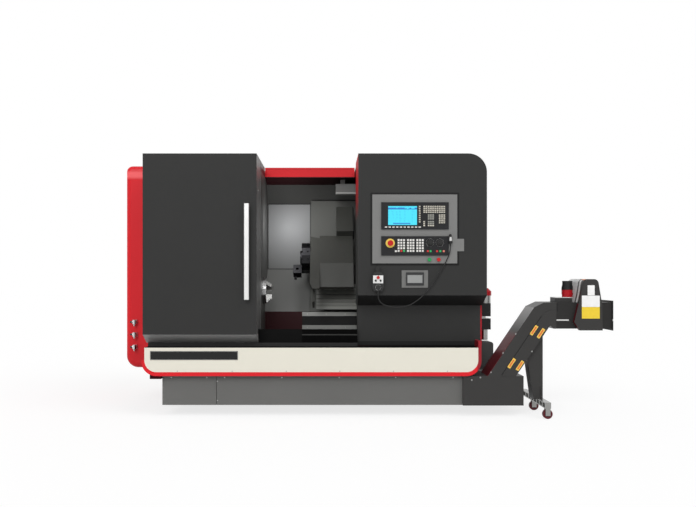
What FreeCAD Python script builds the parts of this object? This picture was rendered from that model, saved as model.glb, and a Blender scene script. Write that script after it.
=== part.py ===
"""CNC turning lathe: slant bed, turret, sliding door, operator's panel and chip conveyor.

Millimetres, +Z up, +X towards the conveyor, the operator stands at -Y. While it is laid out, X starts at the
left wall of the machining area, Y at the door's front face and Z at the floor. Every node is then shifted so
that the origin lies under the middle of the whole machine.
"""
import FreeCAD, Part
import math
import os
from types import SimpleNamespace

import Sketcher
from FreeCAD import Placement, Rotation, Vector

SIZES = {
    # base and feet
    "floor_gap": 83.0,
    "plinth_height": 224.0,
    "plinth_inset": 135.0,
    "plinth_inset_right": 176.0,
    "plinth_setback": 50.0,
    "base_depth": 1490.0,
    "panel_thickness": 12.0,
    "panel_seam": 410.0,
    "panel_gap": 4.0,
    "foot_pad_radius": 55.0,
    "foot_pad_height": 20.0,
    "foot_stud_radius": 14.0,
    "foot_nut_radius": 24.0,
    "foot_nut_height": 16.0,
    "foot_inset": 150.0,
    "foot_setback": 590.0,
    "tank_foot_inset": 40.0,
    "tank_foot_radius": 36.0,
    # chip pan, apron and door rail
    "pan_height": 213.0,
    "pan_front": 3.0,
    "pan_depth": 1637.0,
    "pan_inset_left": 10.0,
    "pan_inset_right": 65.0,
    "pan_corner": 90.0,
    "pan_floor": 12.0,
    "keel_inset": 40.0,
    "keel_drop": 22.0,
    "trough_depth": 628.0,
    "sill_setback": 150.0,
    "sill_thickness": 12.0,
    "sill_height": 129.0,
    "sill_gap": 6.0,
    "trim_height": 30.0,
    "trim_width": 24.0,
    "trim_rise": 263.0,
    "rail_height": 26.7,
    "rail_front": 120.0,
    "rail_width": 28.0,
    "sliding_gap": 0.3,
    # door
    "door_width": 855.0,
    "door_height": 1431.0,
    "door_depth": 325.0,
    "door_skin": 25.0,
    "door_slope_drop": 72.0,
    "door_slope_run": 135.0,
    "door_lip": 12.0,
    "door_side": 15.0,
    "door_cover_depth": 795.0,
    "door_play": 2.0,
    "handle_inset": 51.0,
    "handle_width": 39.0,
    "handle_thickness": 22.0,
    "handle_standoff": 40.0,
    "handle_rise": 335.0,
    "handle_length": 716.0,
    "handle_post": 32.0,
    # enclosure
    "opening_width": 761.0,
    "left_bay_width": 854.0,
    "bay_gap": 10.0,
    "enclosure_height": 1428.0,
    "enclosure_skin": 12.0,
    "end_cover_width": 241.0,
    "end_cover_front": 450.0,
    "end_cover_depth": 1150.0,
    "end_cover_low_radius": 95.0,
    "end_cover_top_radius": 48.0,
    "end_cover_rim": 40.0,
    "hatch_thickness": 6.0,
    "hatch_low": 676.0,
    "hatch_height": 680.0,
    "hatch_inset": 60.0,
    "groove_width": 5.0,
    "groove_depth": 3.0,
    "service_door_inset": 90.0,
    "service_door_low": 700.0,
    "service_door_top": 120.0,
    "vent_pitch": 30.0,
    "vent_height": 9.0,
    "vent_width": 220.0,
    "vent_drop": 90.0,
    "beam_front": 803.0,
    "beam_depth": 60.0,
    "beam_height": 80.0,
    "beam_bottom": 1900.0,
    # machining area
    "spindle_depth": 600.0,
    "spindle_height": 939.0,
    "bed_slant": 50.35,
    "swing": 270.0,
    "bed_step": 75.0,
    "splash_foot": 12.0,
    "splash_length": 470.0,
    "splash_width": 376.0,
    "sheet": 4.0,
    "back_wall_top": 1702.0,
    "hood_run": 100.0,
    "hood_rise": 154.0,
    "hood_flange": 60.0,
    "guard_thickness": 6.0,
    "wall_thickness": 10.0,
    "bed_left": 700.0,
    "bed_right": 1500.0,
    "bed_top_along": 548.0,
    "bed_back": 1480.0,
    "bed_margin": 8.0,
    "guide_left": 300.0,
    "guide_length": 1150.0,
    "guide_height": 39.0,
    "guide_width": 40.0,
    "guide_low": 30.0,
    "guide_high": 400.0,
    "way_left": 316.0,
    "way_length": 1134.0,
    "way_depth": 12.0,
    "way_height": 34.0,
    "way_pitch": 112.0,
    "lamp_left": 601.0,
    "lamp_length": 420.0,
    "lamp_setback": 8.0,
    "lamp_width": 110.0,
    "lamp_bottom": 1766.0,
    "lamp_height": 84.0,
    "hanger_inset": 40.0,
    # headstock, spindle and chuck
    "tail_gap": 32.0,
    "head_nose": 140.0,
    "head_half": 150.0,
    "head_above": 150.0,
    "shaft_radius": 60.0,
    "shaft_fit": 0.05,
    "shaft_tail": 60.0,
    "nose_radius": 80.0,
    "nose_length": 45.0,
    "bar_bore": 26.0,
    "cylinder_radius": 90.0,
    "cylinder_length": 110.0,
    "cylinder_flange": 18.0,
    "chuck_radius": 105.0,
    "chuck_length": 125.0,
    "chuck_clearance": 8.0,
    "jaw_width": 34.0,
    "jaw_inner": 34.0,
    "jaw_outer": 98.0,
    "jaw_height": 42.0,
    "jaw_step": 14.0,
    "jaw_tongue": 14.0,
    "jaw_tongue_width": 16.0,
    # carriage, in the slanted frame along the bed's slope
    "saddle_left": 500.0,
    "saddle_length": 400.0,
    "saddle_low": 4.0,
    "saddle_high": 470.0,
    "saddle_base": 60.0,
    "saddle_top": 65.0,
    "cross_rail_height": 25.0,
    "cross_rail_width": 40.0,
    "cross_rail_inset": 60.0,
    "cross_rail_low": 5.0,
    "cross_rail_high": 445.0,
    "cover_left": 386.0,
    "cover_length": 614.0,
    "cover_skin": 8.0,
    "cover_flange": 20.0,
    "cover_top": 1720.0,
    "slider_left": 130.0,
    "slider_gap": 8.0,
    "turret_along": 354.0,
    "turret_left": 313.0,
    "turret_radius": 132.0,
    "turret_thickness": 73.0,
    "turret_hub_radius": 45.0,
    "turret_hub_length": 20.0,
    "turret_face_radius": 62.0,
    "turret_face_length": 14.0,
    "coolant_radius": 7.0,
    "coolant_depth": 30.0,
    "seat_depth": 9.0,
    "seat_half": 9.0,
    "neck_length": 78.0,
    "neck_half": 120.0,
    "neck_waist": 170.0,
    "neck_cover": 15.0,
    "neck_cover_low": 75.0,
    "fin_inset": 22.0,
    "fin_width": 18.0,
    "fin_low": 163.0,
    "fin_front": 60.0,
    "fin_back": 20.0,
    "housing_length": 280.0,
    "housing_low": 188.0,
    "housing_high": 493.0,
    "housing_back": 160.0,
    "housing_front": 130.0,
    "housing_cover": 30.0,
    "housing_drop": 10.0,
    "housing_clear": 12.0,
    "slide_left": 520.0,
    "slide_length": 240.0,
    "slide_low": 200.0,
    "slide_high": 440.0,
    "slide_lift": 5.0,
    "drive_left": 606.0,
    "drive_length": 150.0,
    "drive_high": 780.0,
    "drive_back": 85.0,
    "drive_front": 190.0,
    "drive_round": 16.0,
    "way_cover_low": 60.0,
    "way_cover_left": 436.0,
    "way_cover_length": 380.0,
    "way_cover_above": 182.0,
    "way_plate": 6.0,
    "way_plate_step": 4.0,
    "way_plate_lap": 12.0,
    "tool_block_length": 70.0,
    "tool_block_width": 62.0,
    "tool_block_inner": 100.0,
    "tool_block_outer": 190.0,
    "tool_bore": 13.0,
    "tool_side": 20.0,
    "tool_reach": 28.0,
    # control cabinet and its panel
    "cabinet_width": 965.0,
    "cabinet_depth": 535.0,
    "cabinet_bottom": 831.0,
    "cabinet_height": 1147.0,
    "cabinet_corner": 140.0,
    "cabinet_slope_drop": 82.0,
    "cabinet_slope_run": 200.0,
    "skirt_depth": 130.0,
    "plate_left": 99.0,
    "plate_width": 648.0,
    "plate_drop": 303.0,
    "plate_height": 528.0,
    "plate_thickness": 6.0,
    "tab_width": 45.0,
    "tab_height": 93.0,
    "tab_drop": 338.0,
    "unit_width": 505.0,
    "unit_left": 72.0,
    "unit_depth": 10.0,
    "display_drop": 65.0,
    "display_height": 202.0,
    "screen_left": 50.0,
    "screen_drop": 27.0,
    "screen_width": 219.0,
    "screen_height": 145.0,
    "bezel_depth": 3.0,
    "controls_drop": 319.0,
    "controls_height": 144.0,
    "key_side": 14.0,
    "key_depth": 3.0,
    "key_pitch": 20.3,
    "key_group_pitch": 70.0,
    "keys_across": 122.5,
    "keys_drop": 22.0,
    "switch_drop": 105.0,
    "switch_left": 341.0,
    "switch_right": 410.0,
    "switch_pitch": 25.0,
    "softkey_pitch": 28.0,
    "softkey_width": 17.0,
    "softkey_height": 8.0,
    "softkey_across": 27.0,
    "softkey_gap": 10.0,
    "side_key_pitch": 16.4,
    "side_key_width": 12.0,
    "side_key_gap": 12.0,
    "letter_pitch": 16.6,
    "letter_side": 12.4,
    "letter_row": 14.2,
    "letter_tall": 10.4,
    "letters_across": 315.0,
    "letters_drop": 27.0,
    "letters_gap": 7.0,
    "estop_across": 67.0,
    "estop_drop": 52.0,
    "estop_ring": 34.0,
    "estop_ring_depth": 4.0,
    "estop_cap": 21.0,
    "estop_length": 24.0,
    "estop_travel": 6.0,
    "estop_seat": 7.0,
    "knob_radius": 25.0,
    "knob_length": 20.0,
    "pointer_half": 4.0,
    "pointer_proud": 3.0,
    "knob_across": 364.0,
    "knob_pitch": 73.0,
    "knob_drop": 48.0,
    "cycle_across": 361.0,
    "cycle_pitch": 69.0,
    "cycle_drop": 175.0,
    "cycle_collar": 19.5,
    "collar_proud": 3.0,
    "cycle_cap": 14.0,
    "cycle_depth": 14.0,
    "panel_across": 226.0,
    "panel_rise": 140.0,
    "panel_width": 197.0,
    "panel_height": 130.0,
    "panel_bezel": 31.0,
    "view_inset": 15.0,
    "view_margin": 20.0,
    # handwheel pendant and its cable
    "pendant_across": 47.0,
    "pendant_width": 86.0,
    "pendant_neck": 46.0,
    "pendant_waist": 60.0,
    "pendant_length": 143.0,
    "pendant_bottom": 945.0,
    "pendant_depth": 40.0,
    "pendant_round": 9.0,
    "shoulder_drop": 30.0,
    "hip_rise": 30.0,
    "face_width": 75.0,
    "face_low": 59.0,
    "face_height": 58.0,
    "face_depth": 2.0,
    "selector_pitch": 36.0,
    "selector_rise": 20.0,
    "selector_radius": 8.0,
    "cross_rise": 43.0,
    "cross_radius": 12.0,
    "selector_depth": 8.0,
    "wheel_radius": 24.0,
    "wheel_depth": 12.0,
    "wheel_rise": 28.0,
    "wheel_pin": 15.0,
    "grip_radius": 4.0,
    "hook_width": 30.0,
    "hook_height": 28.0,
    "gland_radius": 8.0,
    "gland_length": 22.0,
    "cable_diameter": 8.0,
    "plug_radius": 12.0,
    "plug_length": 62.0,
    "plug_ring": 10.0,
    # fittings on the ends of the machine
    "unit_front": 350.0,
    "unit_centre": 64.0,
    "unit_depth_back": 120.0,
    "cap_radius": 52.0,
    "cap_top": 962.0,
    "cap_height": 60.0,
    "canister_radius": 46.0,
    "canister_low": 842.0,
    "bell_height": 26.0,
    "regulator_reach": 100.0,
    "regulator_low": 738.0,
    "regulator_split": 722.0,
    "pump_low": 634.0,
    "bowl_radius": 24.0,
    "bowl_low": 548.0,
    "junction_reach": 110.0,
    "junction_low": 320.0,
    "junction_height": 220.0,
    "junction_depth": 140.0,
    "junction_radius": 22.0,
    "junction_setback": 50.0,
    "valve_across": 77.0,
    "valve_radius": 16.0,
    "valve_length": 34.0,
    "valve_seat": 4.0,
    "valve_pitch": 100.0,
    "valve_height": 490.0,
    # chip conveyor
    "conveyor_front": 20.0,
    "conveyor_width": 260.0,
    "conveyor_skin": 5.0,
    "tank_length": 456.0,
    "tank_width": 600.0,
    "tank_clearance": 2.0,
    "incline": 56.0,
    "incline_foot": 184.0,
    "duct_height": 177.0,
    "duct_bend": 78.0,
    "duct_bend_drop": 37.0,
    "duct_lift": 24.0,
    "duct_heel": 20.0,
    "side_plate_width": 108.0,
    "side_plate_drop": 58.0,
    "side_plate_radius": 100.0,
    "side_plate_proud": 4.0,
    "head_reach": 525.0,
    "ledge_length": 92.0,
    "ledge_rise": 60.0,
    "ledge_height": 10.0,
    "ledge_depth": 9.0,
    "head_bottom": 662.0,
    "head_height": 197.0,
    "head_length": 425.0,
    "mouth_length": 92.0,
    "mouth_flange": 14.0,
    "drum_radius": 52.0,
    "drum_length": 200.0,
    "drum_shaft": 14.0,
    "drum_back": 196.0,
    "axle_reach": 14.0,
    "axle_end": 6.0,
    "sprocket_radius": 44.0,
    "sprocket_thickness": 9.0,
    "belt_inset": 36.0,
    "belt_thickness": 6.0,
    "belt_turn": 10.0,
    "belt_width": 210.0,
    "guide_strip": 32.0,
    "guard_front": 20.0,
    "guard_sheet": 5.0,
    "guard_inset": 88.0,
    "guard_foot": 11.0,
    "guard_foot_width": 171.0,
    "guard_hip": 181.0,
    "guard_hip_inset": 4.0,
    "guard_rise": 373.0,
    "guard_top_inset": 36.0,
    "guard_top_width": 110.0,
    "guard_arch": 34.0,
    "guard_shoulder": 258.0,
    "guard_shoulder_width": 164.0,
    "guard_belly": 52.0,
    "guard_belly_width": 213.0,
    "guard_cover_width": 178.0,
    "guard_back": 70.0,
    "motor_radius": 40.0,
    "motor_length": 124.0,
    "motor_band": 12.0,
    "motor_inset": 112.0,
    "motor_setback": 110.0,
    "terminal_width": 52.0,
    "terminal_reach": 24.0,
    "terminal_rise": 26.0,
    "terminal_height": 48.0,
    "mount_inset": 4.0,
    "mount_height": 38.0,
    "mount_length": 126.0,
    "mount_depth": 140.0,
    "leg_top_width": 116.0,
    "leg_foot_width": 72.0,
    "leg_depth": 120.0,
    "leg_front": 60.0,
    "leg_sheet": 6.0,
    "leg_setback": 201.0,
    "leg_knee": 435.0,
    "bar_width": 44.0,
    "bar_height": 44.0,
    "bar_wall": 7.0,
    "bar_window": 62.0,
    "bar_length": 740.0,
    "bar_clearance": 6.0,
    "caster_inset": 6.0,
    "caster_radius": 36.0,
    "caster_width": 28.0,
    "caster_front": 68.0,
    "caster_pitch": 394.0,
    "caster_clearance": 3.0,
    "fork_thickness": 5.0,
    "fork_half_width": 18.0,
    "fork_foot": 24.0,
    "axle_radius": 6.0,
    "adjuster_radius": 5.0,
    "adjuster_height": 92.0,
}

document = FreeCAD.newDocument("turning_lathe")
sheet = document.addObject("Spreadsheet::Sheet", "Sizes")
for row, (alias, number) in enumerate(SIZES.items(), 1):
    sheet.set(f"A{row}", alias)
    sheet.set(f"B{row}", str(number))
    sheet.setAlias(f"B{row}", alias)
document.recompute()


class Size:
    """A number together with the spreadsheet expression that it comes from."""

    def __init__(self, number, text):
        self.number = number
        self.text = text

    def join(self, other, sign, number):
        return Size(number, f"({self.text} {sign} {as_size(other).text})")

    def __add__(self, other):
        return self.join(other, "+", self.number + as_size(other).number)

    def __sub__(self, other):
        return self.join(other, "-", self.number - as_size(other).number)

    def __mul__(self, other):
        return self.join(other, "*", self.number * as_size(other).number)

    def __truediv__(self, other):
        return self.join(other, "/", self.number / as_size(other).number)

    def __radd__(self, other):
        return as_size(other) + self

    def __rsub__(self, other):
        return as_size(other) - self

    def __rmul__(self, other):
        return as_size(other) * self

    def __neg__(self):
        return Size(0.0, "0") - self


def as_size(value):
    return value if isinstance(value, Size) else Size(float(value), repr(float(value)))


def cosine(angle):
    return Size(math.cos(math.radians(angle.number)), f"cos({angle.text} * 1deg)")


def sine(angle):
    return Size(math.sin(math.radians(angle.number)), f"sin({angle.text} * 1deg)")


def read_sizes():
    return {alias: Size(float(sheet.get(alias)), f"Sizes.{alias}") for alias in SIZES}


s = SimpleNamespace(**read_sizes())
nodes = {}

# ---------------------------------------------------------------- building blocks

AXIS_TURNS = {
    "x": Rotation(Vector(0, 1, 0), 90),
    "y": Rotation(Vector(1, 0, 0), -90),
    "z": Rotation(),
}
PLANES = {"XY": "xyz", "XZ": "xzy", "YZ": "yzx"}


def bind(thing, prop, value):
    thing.setExpression(prop, as_size(value).text)


def move(thing, place):
    for letter, value in zip("xyz", place):
        bind(thing, f"Placement.Base.{letter}", value)
    return thing


def block(name, x, y, z):
    """Box between three pairs of low and high."""
    thing = document.addObject("Part::Box", name)
    for prop, (low, high) in zip(("Length", "Width", "Height"), (x, y, z)):
        bind(thing, prop, as_size(high) - low)
    return move(thing, (x[0], y[0], z[0]))


def rod(name, axis, start, radius, length):
    """Cylinder from start along an axis."""
    thing = document.addObject("Part::Cylinder", name)
    thing.Placement = Placement(Vector(), AXIS_TURNS[axis])
    bind(thing, "Radius", radius)
    bind(thing, "Height", length)
    return move(thing, start)


def taper(name, axis, start, radius, end_radius, length):
    """Cone from start along an axis."""
    thing = document.addObject("Part::Cone", name)
    thing.Placement = Placement(Vector(), AXIS_TURNS[axis])
    bind(thing, "Radius1", radius)
    bind(thing, "Radius2", end_radius)
    bind(thing, "Height", length)
    return move(thing, start)


def polygon_rod(name, axis, start, sides, radius, length):
    """Regular prism from start along an axis."""
    thing = document.addObject("Part::Prism", name)
    thing.Polygon = sides
    thing.Placement = Placement(Vector(), AXIS_TURNS[axis])
    bind(thing, "Circumradius", radius)
    bind(thing, "Height", length)
    return move(thing, start)


def fuse(name, *parts):
    thing = document.addObject("Part::MultiFuse", name)
    thing.Shapes = list(parts)
    thing.Refine = True
    return thing


def group(name, *parts):
    thing = document.addObject("Part::Compound", name)
    thing.Links = list(parts)
    return thing


def cut(name, base, *tools):
    thing = document.addObject("Part::Cut", name)
    thing.Base = base
    thing.Tool = tools[0] if len(tools) == 1 else fuse(f"{name}_tools", *tools)
    thing.Refine = True
    return thing


def origin_feature(body, role):
    return next(part for part in body.Origin.OriginFeatures if part.Role == role)


def closed_sketch(body, name, plane, outline):
    """Sketch of straight runs whose corners are all held by the sheet."""
    sketch = body.newObject("Sketcher::SketchObject", name)
    sketch.AttachmentSupport = [(origin_feature(body, f"{plane}_Plane"), "")]
    sketch.MapMode = "FlatFace"
    corners = [Vector(as_size(a).number, as_size(b).number, 0) for a, b in outline]
    count = len(corners)
    for index, corner in enumerate(corners):
        sketch.addGeometry(Part.LineSegment(corner, corners[(index + 1) % count]), False)
    for index in range(count):
        sketch.addConstraint(Sketcher.Constraint("Coincident", index, 2, (index + 1) % count, 1))
    for index, corner in enumerate(outline):
        for kind, value in zip(("DistanceX", "DistanceY"), corner):
            held = Sketcher.Constraint(kind, -1, 1, index, 1, as_size(value).number)
            bind(sketch, f"Constraints[{sketch.addConstraint(held)}]", value)
    return sketch


def prism(name, plane, outline, low, high, rounds=None, radius=None):
    """Outline in a plane, padded from low to high across it; the corners listed in rounds get a radius."""
    across, up, normal = PLANES[plane]
    body = document.addObject("PartDesign::Body", name)
    sketch = closed_sketch(body, f"{name}_outline", plane, outline)
    pad = body.newObject("PartDesign::Pad", f"{name}_pad")
    pad.Profile = sketch
    pad.Reversed = plane == "XZ"
    bind(pad, "Length", as_size(high) - low)
    if rounds:
        document.recompute()
        fillet = body.newObject("PartDesign::Fillet", f"{name}_corners")
        fillet.Base = (pad, corner_edges(pad.Shape, outline, rounds, across, up))
        bind(fillet, "Radius", radius)
    bind(body, f"Placement.Base.{normal}", low)
    return body


def corner_edges(shape, outline, rounds, across, up):
    """Names of the edges that stand on the listed corners of an outline."""
    found = []
    for index in rounds:
        spot = [as_size(value).number for value in outline[index]]
        for number, edge in enumerate(shape.Edges, 1):
            ends = [vertex.Point for vertex in edge.Vertexes]
            if all(math.dist(spot, (getattr(end, across), getattr(end, up))) < 0.01 for end in ends):
                found.append(f"Edge{number}")
    return found


def round_edges(body, name, radius, chosen):
    """Radius on the edges of a body, in its own frame, for whose end points chosen holds."""
    document.recompute()
    base = body.Tip
    names = [
        f"Edge{number}" for number, edge in enumerate(base.Shape.Edges, 1)
        if chosen([vertex.Point for vertex in edge.Vertexes])
    ]
    fillet = body.newObject("PartDesign::Fillet", name)
    fillet.Base = (base, names)
    bind(fillet, "Radius", radius)


def near(value, size):
    return abs(value - as_size(size).number) < 0.01


def rectangle(a, b):
    return [(a[0], b[0]), (a[1], b[0]), (a[1], b[1]), (a[0], b[1])]


# ---------------------------------------------------------------- main places

cos_slant = cosine(s.bed_slant)
sin_slant = sine(s.bed_slant)
bay_left = -s.left_bay_width
cabinet_left = s.opening_width
machine_right = cabinet_left + s.cabinet_width
end_cover_left = bay_left - s.end_cover_width

base_top = s.floor_gap + s.plinth_height
pan_top = base_top + s.pan_height
pan_left = bay_left + s.pan_inset_left
pan_right = machine_right - s.pan_inset_right
pan_back = s.pan_front + s.pan_depth
enclosure_top = pan_top + s.enclosure_height
bay_front = s.door_depth + s.bay_gap
plinth_left = bay_left + s.plinth_inset
plinth_right = machine_right - s.plinth_inset_right

head_left_end = machine_right + s.head_reach
duct_right_end = head_left_end + s.head_length
leg_left = head_left_end - s.leg_setback
leg_right = leg_left + s.leg_top_width
caster_x = leg_right - s.caster_inset
fork_half = s.caster_width / 2 + s.caster_clearance + s.fork_thickness
left_reach = end_cover_left - s.hatch_thickness
front_reach = -s.caster_front - fork_half

middle_x = (left_reach + duct_right_end) / 2
middle_y = (front_reach + pan_back) / 2


def node(label, *parts):
    """One file of the model, shifted to the frame whose origin lies under the machine's middle."""
    thing = group(f"node_{label}", *parts)
    thing.Label = label
    nodes[label] = move(thing, (-middle_x, -middle_y, 0))


def slanted_node(label, *parts):
    """Same for parts laid out along the slope: X, up the slope, off the slope, from the spindle's axis."""
    thing = group(f"node_{label}", *parts)
    thing.Label = label
    thing.Placement = Placement(Vector(), Rotation(Vector(1, 0, 0), s.bed_slant.number))
    thing.setExpression("Placement.Rotation.Angle", "Sizes.bed_slant * 1deg")
    nodes[label] = move(thing, (-middle_x, s.spindle_depth - middle_y, s.spindle_height))


def slope_point(along, off):
    """Depth and height of a point given along and off the slope, from the spindle's axis."""
    depth = s.spindle_depth + along * cos_slant - off * sin_slant
    height = s.spindle_height + along * sin_slant + off * cos_slant
    return depth, height


def slope_at_depth(off, depth):
    """The point on a plane parallel to the slope that lies at a given depth."""
    along = (depth - s.spindle_depth + off * sin_slant) / cos_slant
    return slope_point(along, off)


def slope_at_height(off, height):
    """The point on a plane parallel to the slope that lies at a given height."""
    along = (height - s.spindle_height - off * cos_slant) / sin_slant
    return slope_point(along, off)


# ---------------------------------------------------------------- base


PAD_SIDES = 16


def foot(name, x, y, radius):
    pad = polygon_rod(f"{name}_pad", "z", (x, y, 0), PAD_SIDES, radius, s.foot_pad_height)
    nut = polygon_rod(f"{name}_nut", "z", (x, y, s.foot_pad_height), 6, s.foot_nut_radius, s.foot_nut_height)
    stud_low = s.foot_pad_height + s.foot_nut_height
    stud = polygon_rod(f"{name}_stud", "z", (x, y, stud_low), 12, s.foot_stud_radius, s.floor_gap - stud_low)
    return fuse(name, pad, nut, stud)


def make_feet():
    """Feet that stand well back under the plinth, so that nothing of them shows from the front."""
    rows = (s.plinth_setback + s.foot_setback, s.plinth_setback + s.base_depth - s.foot_inset)
    columns = (plinth_left + s.foot_inset, (plinth_left + plinth_right) / 2, plinth_right - s.foot_inset)
    feet = [
        foot(f"foot_{i}_{j}", x, y, s.foot_pad_radius)
        for i, x in enumerate(columns) for j, y in enumerate(rows)
    ]
    tank_row = s.conveyor_front + s.tank_width - s.tank_foot_inset
    for index, x in enumerate((tank_left + s.foot_inset, tank_right - s.foot_inset)):
        feet.append(foot(f"tank_foot_{index}", x, tank_row, s.tank_foot_radius))
    node("levelling_feet", *feet)


def make_base():
    front = s.plinth_setback + s.panel_thickness
    back = s.plinth_setback + s.base_depth
    casting = block("casting", (plinth_left, plinth_right), (front, back), (s.floor_gap, base_top))
    node("base_casting", casting)
    seam = plinth_left + s.panel_seam
    depth = (s.plinth_setback, front)
    height = (s.floor_gap, base_top)
    left = block("panel_left", (plinth_left, seam - s.panel_gap / 2), depth, height)
    right = block("panel_right", (seam + s.panel_gap / 2, plinth_right), depth, height)
    node("base_panels", left, right)


# ---------------------------------------------------------------- chip pan, apron, rail

splash_low = slope_point(-s.splash_foot, -s.swing)
splash_high = slope_point(s.splash_length - s.splash_foot, -s.swing)
guard_front = splash_low[0]
bed_front = guard_front + s.guard_thickness
bed_off = -(s.swing + s.bed_step)


def make_pan():
    outer = prism(
        "pan_outer", "XZ", rectangle((pan_left, pan_right), (base_top, pan_top)),
        s.pan_front, pan_back, rounds=(0, 1), radius=s.pan_corner,
    )
    sill_back = s.sill_setback + s.sill_thickness
    trough = block(
        "trough", (pan_left + s.pan_corner, pan_right - s.pan_corner),
        (sill_back, sill_back + s.trough_depth), (base_top + s.pan_floor, pan_top + 1),
    )
    bed_hole = block(
        "bed_hole", (-s.bed_left - s.bed_margin, s.bed_right + s.bed_margin),
        (bed_front - s.bed_margin, s.bed_back + s.bed_margin), (base_top - 1, pan_top + 1),
    )
    sill = block(
        "sill", (pan_left, cabinet_left - s.door_play),
        (s.sill_setback, sill_back), (pan_top, pan_top + s.sill_height),
    )
    keel = block(
        "pan_keel", (pan_left + s.keel_inset, plinth_left), (s.pan_front, pan_back),
        (base_top - s.keel_drop, base_top + s.pan_floor),
    )
    tray = cut("pan_tray", outer, trough, bed_hole)
    node("chip_pan", fuse("pan", tray, sill, keel))


def make_apron():
    low = base_top + s.trim_height
    apron = prism(
        "apron_sheet", "XZ", rectangle((pan_left, pan_right), (low, pan_top)),
        0, s.pan_front, rounds=(0, 1), radius=s.pan_corner,
    )
    node("apron", apron)
    left_end = pan_left - s.trim_width
    rise = base_top + s.trim_rise
    strip = prism(
        "trim_strip", "XZ", rectangle((left_end, pan_right + s.trim_width), (base_top, rise)),
        0, s.sill_setback, rounds=(0, 1), radius=s.pan_corner + s.trim_width,
    )
    inside = prism(
        "trim_inside", "XZ", rectangle((pan_left, pan_right), (low, rise + 1)),
        -1, s.pan_front, rounds=(0, 1), radius=s.pan_corner,
    )
    behind = block(
        "trim_behind", (left_end - 1, pan_right), (s.pan_front, s.sill_setback + 1), (base_top - 1, rise + 1),
    )
    left_clear = block(
        "trim_left_clear", (left_end - 1, pan_left + 1), (-1, s.sill_setback + 1),
        (low + s.pan_corner, rise + 1),
    )
    node("apron_trim", cut("trim", strip, inside, behind, left_clear))


def make_rail():
    rail = block(
        "rail", (pan_left, cabinet_left - s.door_play),
        (s.rail_front, s.rail_front + s.rail_width), (pan_top, pan_top + s.rail_height),
    )
    node("door_rail", rail)


# ---------------------------------------------------------------- door

door_right = -s.door_play
door_left = door_right - s.door_width
door_bottom = pan_top + s.rail_height + s.sliding_gap
door_top = door_bottom + s.door_height


def make_door():
    face_bottom = door_bottom + s.door_slope_drop
    lip_back = s.door_slope_run + s.door_lip
    roof_under = door_top - s.door_skin
    profile = [
        (s.door_slope_run, door_bottom), (lip_back, door_bottom), (lip_back, door_bottom + s.door_lip),
        (s.door_skin, face_bottom + s.door_lip), (s.door_skin, roof_under), (s.door_cover_depth, roof_under),
        (s.door_cover_depth, door_top), (0, door_top), (0, face_bottom),
    ]
    skin = prism("door_skin_sheet", "YZ", profile, door_left, door_right)
    side_low = pan_top + s.sill_height + s.sill_gap
    side = [
        (s.door_skin, face_bottom + s.door_lip), (lip_back, door_bottom + s.door_lip), (lip_back, side_low),
        (s.door_depth, side_low), (s.door_depth, roof_under), (s.door_skin, roof_under),
    ]
    left = prism("door_left_side", "YZ", side, door_left, door_left + s.door_side)
    right = prism("door_right_side", "YZ", side, door_right - s.door_side, door_right)
    node("door_shell", fuse("door", skin, left, right))

    right_edge = door_right - s.handle_inset
    left_edge = right_edge - s.handle_width
    low = door_bottom + s.handle_rise
    high = low + s.handle_length
    bar_front = -s.handle_standoff - s.handle_thickness
    middle = (left_edge + right_edge) / 2
    bar = prism(
        "handle_bar", "XY", rectangle((left_edge, right_edge), (bar_front, -s.handle_standoff)),
        low, high, rounds=(0, 1), radius=s.handle_thickness / 3,
    )
    posts = [
        rod(
            f"handle_post_{i}", "y", (middle, -s.handle_standoff - 1, z), s.handle_post / 2,
            s.handle_standoff + 1,
        )
        for i, z in enumerate((low + s.handle_post * 2, high - s.handle_post * 2))
    ]
    node("door_handle", fuse("handle", bar, *posts))


# ---------------------------------------------------------------- enclosure


VENT_SLOTS = 8


def service_door(name, x):
    """Shallow groove round a door in the back wall, with its louvre slots, as shapes to cut away."""
    z = (s.service_door_low, enclosure_top - s.service_door_top)
    depth = (pan_back - s.groove_depth, pan_back + 1)
    leaf = block(
        f"{name}_leaf", (x[0] + s.groove_width, x[1] - s.groove_width), (depth[0] - 1, pan_back + 2),
        (z[0] + s.groove_width, z[1] - s.groove_width),
    )
    ring = cut(f"{name}_groove", block(f"{name}_outline", x, depth, z), leaf)
    middle = (x[0] + x[1]) / 2
    across = (middle - s.vent_width / 2, middle + s.vent_width / 2)
    slots = []
    for index in range(VENT_SLOTS):
        top = z[1] - s.vent_drop - index * s.vent_pitch
        slots.append(block(f"{name}_slot_{index}", across, depth, (top - s.vent_height, top)))
    return [ring, *slots]


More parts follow.
